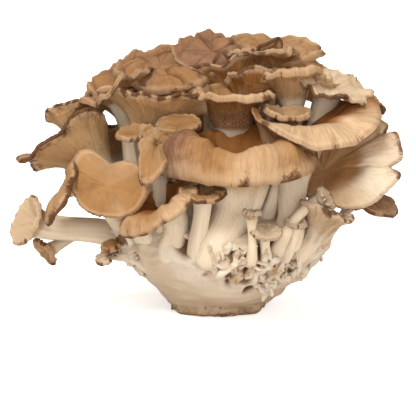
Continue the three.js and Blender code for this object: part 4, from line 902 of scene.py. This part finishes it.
# ---- Geometry nodes --------------------------------------------------------------------------------
class Growing:
    """Short ways to build one geometry node tree with named inputs."""

    def __init__(self, name, inputs):
        self.tree = bpy.data.node_groups.new(name, "GeometryNodeTree")
        face = self.tree.interface
        face.new_socket("Geometry", in_out="INPUT", socket_type="NodeSocketGeometry")
        for label, kind in inputs.items():
            face.new_socket(label, in_out="INPUT", socket_type=kind)
        face.new_socket("Geometry", in_out="OUTPUT", socket_type="NodeSocketGeometry")
        self.start = self.tree.nodes.new("NodeGroupInput")
        self.end = self.tree.nodes.new("NodeGroupOutput")

    def add(self, kind, settings=(), **inputs):
        made = self.tree.nodes.new(kind)
        for key, value in dict(settings).items():
            setattr(made, key, value)
        for key, value in inputs.items():
            socket = made.inputs[key.replace("_", " ")]
            if isinstance(value, bpy.types.NodeSocket):
                self.tree.links.new(value, socket)
            else:
                socket.default_value = value
        return made

    def finish(self, geometry, material):
        whole = self.add("GeometryNodeRealizeInstances", Geometry=geometry)
        painted = self.add("GeometryNodeSetMaterial", Geometry=whole.outputs[0], Material=material)
        self.tree.links.new(painted.outputs[0], self.end.inputs[0])
        return self.tree


def apply_tree(piece, tree, values):
    """Runs a tree on a piece with the given named inputs, and keeps its result as the mesh."""
    modifier = piece.modifiers.new(tree.name, "NODES")
    modifier.node_group = tree
    for item in tree.interface.items_tree:
        if item.in_out == "INPUT" and item.name in values:
            modifier[item.identifier] = values[item.name]
    evaluated = piece.evaluated_get(bpy.context.evaluated_depsgraph_get())
    mesh = bpy.data.meshes.new_from_object(evaluated)
    piece.modifiers.remove(modifier)
    old, name = piece.data, piece.data.name
    piece.data = mesh
    bpy.data.meshes.remove(old)
    mesh.name = name
    return piece


def gill_tree(material):
    """Raises every second line of an underside into a gill, as far as the mesh's gill value says."""
    g = Growing("gills", {"Gill Height": "NodeSocketFloat"})
    along = g.add("GeometryNodeInputNamedAttribute", {"data_type": "FLOAT"}, Name="gill").outputs[0]
    height = g.add("ShaderNodeMath", {"operation": "MULTIPLY"})
    g.tree.links.new(along, height.inputs[0])
    g.tree.links.new(g.start.outputs["Gill Height"], height.inputs[1])
    offset = g.add("ShaderNodeVectorMath", {"operation": "SCALE"})
    g.tree.links.new(g.add("GeometryNodeInputNormal").outputs[0], offset.inputs[0])
    g.tree.links.new(height.outputs[0], offset.inputs["Scale"])
    moved = g.add("GeometryNodeSetPosition", Geometry=g.start.outputs["Geometry"], Offset=offset.outputs[0])
    return g.finish(moved.outputs[0], material)


def stub_tree(material):
    """Scatters finger-shaped, unopened mushrooms where the mesh's stub value is high."""
    g = Growing(
        "stubs",
        {"Density": "NodeSocketFloat", "Length": "NodeSocketFloat", "Seed": "NodeSocketInt", "Upright": "NodeSocketFloat"},
    )
    start = g.start.outputs
    share = g.add("GeometryNodeInputNamedAttribute", {"data_type": "FLOAT"}, Name="stubs").outputs[0]
    density = g.add("ShaderNodeMath", {"operation": "MULTIPLY"})
    g.tree.links.new(share, density.inputs[0])
    g.tree.links.new(start["Density"], density.inputs[1])
    spread = g.add(
        "GeometryNodeDistributePointsOnFaces", Mesh=start["Geometry"], Density=density.outputs[0], Seed=start["Seed"]
    )
    up = g.add("ShaderNodeCombineXYZ", Z=start["Upright"])
    wander = g.add("FunctionNodeRandomValue", {"data_type": "FLOAT_VECTOR"}, Seed=start["Seed"])
    wander.inputs[0].default_value = (-0.7, -0.7, -0.3)
    wander.inputs[1].default_value = (0.7, 0.7, 0.3)
    lift = g.add("ShaderNodeVectorMath", {"operation": "ADD"})
    g.tree.links.new(spread.outputs["Normal"], lift.inputs[0])
    g.tree.links.new(up.outputs[0], lift.inputs[1])
    bent = g.add("ShaderNodeVectorMath", {"operation": "ADD"})
    g.tree.links.new(lift.outputs[0], bent.inputs[0])
    g.tree.links.new(wander.outputs[0], bent.inputs[1])
    turn = g.add("FunctionNodeAlignRotationToVector", {"axis": "Z"}, Vector=bent.outputs[0])
    ball = g.add("GeometryNodeMeshUVSphere", Segments=14, Rings=12, Radius=start["Length"])
    shape = g.add("GeometryNodeTransform", Geometry=ball.outputs[0], Scale=(0.34, 0.31, 1.0))
    size = g.add("FunctionNodeRandomValue", {"data_type": "FLOAT_VECTOR"}, Seed=start["Seed"])
    size.inputs[0].default_value = (0.45, 0.45, 0.35)
    size.inputs[1].default_value = (1.1, 1.1, 1.3)
    placed = g.add(
        "GeometryNodeInstanceOnPoints",
        Points=spread.outputs["Points"],
        Instance=shape.outputs[0],
        Rotation=turn.outputs[0],
        Scale=size.outputs[0],
    )
    whole = g.add("GeometryNodeRealizeInstances", Geometry=placed.outputs[0])
    noise = g.add("ShaderNodeTexNoise", Scale=420.0, Detail=2.0)
    middle = g.add("ShaderNodeVectorMath", {"operation": "SUBTRACT"})
    g.tree.links.new(noise.outputs["Color"], middle.inputs[0])
    middle.inputs[1].default_value = (0.5, 0.5, 0.5)
    bulge = g.add("ShaderNodeVectorMath", {"operation": "SCALE"})
    g.tree.links.new(middle.outputs[0], bulge.inputs[0])
    bulge.inputs["Scale"].default_value = 0.0028
    moved = g.add("GeometryNodeSetPosition", Geometry=whole.outputs[0], Offset=bulge.outputs[0])
    soft = g.add("GeometryNodeSetShadeSmooth", Geometry=moved.outputs[0])
    return g.finish(soft.outputs[0], material)


def crumb_tree(material):
    """Scatters crumbs of the growing medium just above the cut foot."""
    g = Growing("crumbs", {"Density": "NodeSocketFloat", "Size": "NodeSocketFloat", "Seed": "NodeSocketInt"})
    start = g.start.outputs
    share = g.add("GeometryNodeInputNamedAttribute", {"data_type": "FLOAT"}, Name="crumbs").outputs[0]
    density = g.add("ShaderNodeMath", {"operation": "MULTIPLY"})
    g.tree.links.new(share, density.inputs[0])
    g.tree.links.new(start["Density"], density.inputs[1])
    spread = g.add(
        "GeometryNodeDistributePointsOnFaces", Mesh=start["Geometry"], Density=density.outputs[0], Seed=start["Seed"]
    )
    grain = g.add("GeometryNodeMeshIcoSphere", Subdivisions=2, Radius=start["Size"])
    turn = g.add("FunctionNodeRandomValue", {"data_type": "FLOAT_VECTOR"}, Seed=start["Seed"])
    turn.inputs[1].default_value = (6.28, 6.28, 6.28)
    size = g.add("FunctionNodeRandomValue", {"data_type": "FLOAT_VECTOR"}, Seed=start["Seed"])
    size.inputs[0].default_value = (0.3, 0.3, 0.3)
    size.inputs[1].default_value = (1.3, 1.0, 0.7)
    placed = g.add(
        "GeometryNodeInstanceOnPoints",
        Points=spread.outputs["Points"],
        Instance=grain.outputs[0],
        Rotation=turn.outputs[0],
        Scale=size.outputs[0],
    )
    return g.finish(placed.outputs[0], material)


def crumb_material():
    s = Shades("growing_medium")
    mottle = s.noise(s.place(), 700.0, 4.0, 0.6)
    s.put(s.surface.inputs["Base Color"], s.mix(s.between(mottle, 0.35, 0.65), SUBSTRATE, BLOCK_TAN))
    s.put(s.surface.inputs["Roughness"], s.between(mottle, 0.3, 0.7, 0.75, 0.95))
    s.put(s.surface.inputs["Normal"], s.bump(mottle, 0.0004, 0.7))
    return s.material


# ---- Operators -------------------------------------------------------------------------------------
def keep(piece, slot, *nodes):
    """Puts a finished piece in the frame, in place of the nodes that it stands for."""
    if nodes:
        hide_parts(*nodes)
    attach(piece, "root")


class ClusterSettings(bpy.types.PropertyGroup):
    """What may be changed about the cluster's finish."""

    gill_height: bpy.props.FloatProperty(
        name="Gill height", description="Height of a gill's ridge", default=0.00028, min=0.0, subtype="DISTANCE", unit="LENGTH"
    )
    seed: bpy.props.IntProperty(name="Seed", description="Changes every ruffle and split", default=5, min=0)


class CLUSTER_OT_base_block(bpy.types.Operator):
    """Builds the solid base block with its cut foot"""

    bl_idname = "cluster.base_block"
    bl_label = "Base block"

    def execute(self, context):
        piece = block_object()
        piece.data.materials.append(block_material())
        keep(piece, "base_flesh", "base_block")
        return {"FINISHED"}


class CLUSTER_OT_stubs(bpy.types.Operator):
    """Scatters unopened mushrooms and crumbs of growing medium over the base block"""

    bl_idname = "cluster.stubs"
    bl_label = "Stubs and crumbs"

    def execute(self, context):
        seed = context.scene.cluster_settings.seed
        block = bpy.data.objects["base_flesh"]
        for name, tree, values in [
            ("stubs", stub_tree(stub_material()), {"Density": 80000.0, "Length": 0.0055, "Seed": seed, "Upright": 1.1}),
            ("crumbs", crumb_tree(crumb_material()), {"Density": 60000.0, "Size": 0.0009, "Seed": seed}),
        ]:
            piece = bpy.data.objects.new(name, block.data.copy())
            context.scene.collection.objects.link(piece)
            apply_tree(piece, tree, values)
            keep(piece, "base_flesh")
        return {"FINISHED"}


class CLUSTER_OT_mushrooms(bpy.types.Operator):
    """Builds every mushroom, from its stem's root to its cap's rim"""

    bl_idname = "cluster.mushrooms"
    bl_label = "Mushrooms"

    def execute(self, context):
        settings = context.scene.cluster_settings
        flesh = cap_material()
        gills = gill_tree(flesh)
        for number, m in enumerate(MUSHROOMS):
            largest = max(m["reach"])
            around = 288 if largest > 28 else 216 if largest > 16 else 120 if largest > 7 else 72
            piece = mushroom_object(m, around, settings.seed * 1000 + number * 20)
            apply_tree(piece, gills, {"Gill Height": settings.gill_height})
            keep(piece, "cap_flesh", m["name"])
        return {"FINISHED"}


class CLUSTER_OT_stage(bpy.types.Operator):
    """Sets the pale floor, the soft lights and the camera"""

    bl_idname = "cluster.stage"
    bl_label = "Stage"

    def execute(self, context):
        floor = stage_floor()
        stage_lights(context.scene)
        stage_camera(context.scene)
        return {"FINISHED"}


def stage_floor():
    mesh = bpy.data.meshes.new("floor")
    corners = [(-3, -3, 0), (3, -3, 0), (3, 3, 0), (-3, 3, 0)]
    mesh.from_pydata(corners, [], [(0, 1, 2, 3)])
    s = Shades("floor_white")
    s.surface.inputs["Base Color"].default_value = (0.92, 0.92, 0.92, 1)
    s.surface.inputs["Roughness"].default_value = 0.9
    s.surface.inputs["Emission Color"].default_value = (1, 1, 1, 1)
    seen = s.node("ShaderNodeLightPath", "Is Camera Ray")
    s.put(s.surface.inputs["Emission Strength"], s.math("MULTIPLY", seen, 0.6))
    mesh.materials.append(s.material)
    floor = bpy.data.objects.new("floor", mesh)
    bpy.context.scene.collection.objects.link(floor)
    return floor


def stage_lights(scene):
    world = bpy.data.worlds.new("studio")
    world.use_nodes = True
    tree = world.node_tree
    surroundings = tree.nodes["Background"]
    surroundings.inputs["Color"].default_value = (1.0, 0.86, 0.72, 1)
    surroundings.inputs["Strength"].default_value = 0.36
    backdrop = tree.nodes.new("ShaderNodeBackground")
    backdrop.inputs["Color"].default_value = (1, 1, 1, 1)
    seen = tree.nodes.new("ShaderNodeLightPath")
    choice = tree.nodes.new("ShaderNodeMixShader")
    tree.links.new(seen.outputs["Is Camera Ray"], choice.inputs[0])
    tree.links.new(surroundings.outputs[0], choice.inputs[1])
    tree.links.new(backdrop.outputs[0], choice.inputs[2])
    tree.links.new(choice.outputs[0], tree.nodes["World Output"].inputs["Surface"])
    scene.world = world
    middle = Vector((0, 0, (CAD_LOW[2] + CAD_HIGH[2]) / 2))
    for name, place, size, power in [
        ("key", (-0.5, -0.6, 1.0), 0.5, 13.5),
        ("front", (0.1, -1.2, 0.28), 0.7, 5.4),
        ("fill", (0.85, -0.65, 0.35), 0.8, 4.0),
        ("back", (0.1, 0.9, 0.9), 0.8, 5.0),
    ]:
        light = bpy.data.lights.new(name, "AREA")
        light.size = size
        light.energy = power
        lamp = bpy.data.objects.new(name, light)
        lamp.location = place
        lamp.rotation_mode = "QUATERNION"
        lamp.rotation_quaternion = (middle - Vector(place)).to_track_quat("-Z", "Y")
        scene.collection.objects.link(lamp)
    scene.view_settings.view_transform = "Standard"


CAMERA_RISE = 12.0  # degrees above level
CAMERA_DISTANCE = 1.1
CAMERA_AIM = (-5.6, 0.0, 47.5)  # mm
FRAME_WIDTH = 195.5  # mm across the picture at the aim


def stage_camera(scene):
    rise = math.radians(CAMERA_RISE)
    back = Vector((0, -math.cos(rise), math.sin(rise)))
    camera = bpy.data.objects.new("camera", bpy.data.cameras.new("camera"))
    camera.location = Vector(np.array(CAMERA_AIM) * TO_FRAME) + back * CAMERA_DISTANCE
    camera.rotation_mode = "QUATERNION"
    camera.rotation_quaternion = (-back).to_track_quat("-Z", "Y")
    camera.data.sensor_width = 36
    camera.data.lens = 36 * CAMERA_DISTANCE / (FRAME_WIDTH * ACROSS)
    scene.collection.objects.link(camera)
    scene.camera = camera


class CLUSTER_PT_panel(bpy.types.Panel):
    """Sidebar panel of the cluster's settings and steps"""

    bl_idname = "CLUSTER_PT_panel"
    bl_label = "Oyster mushrooms"
    bl_space_type = "VIEW_3D"
    bl_region_type = "UI"
    bl_category = "Mushrooms"

    def draw(self, context):
        settings = context.scene.cluster_settings
        self.layout.prop(settings, "gill_height")
        self.layout.prop(settings, "seed")
        for operator in STEPS:
            self.layout.operator(operator.bl_idname)


STEPS = (CLUSTER_OT_base_block, CLUSTER_OT_stubs, CLUSTER_OT_mushrooms, CLUSTER_OT_stage)
CLASSES = (ClusterSettings, *STEPS, CLUSTER_PT_panel)


def register():
    for each in CLASSES:
        bpy.utils.register_class(each)
    bpy.types.Scene.cluster_settings = bpy.props.PointerProperty(type=ClusterSettings)


def unregister():
    del bpy.types.Scene.cluster_settings
    for each in reversed(CLASSES):
        bpy.utils.unregister_class(each)


def main():
    register()
    bpy.ops.cluster.base_block()
    bpy.ops.cluster.stubs()
    bpy.ops.cluster.mushrooms()
    bpy.ops.cluster.stage()


if __name__ == "__main__":
    main()
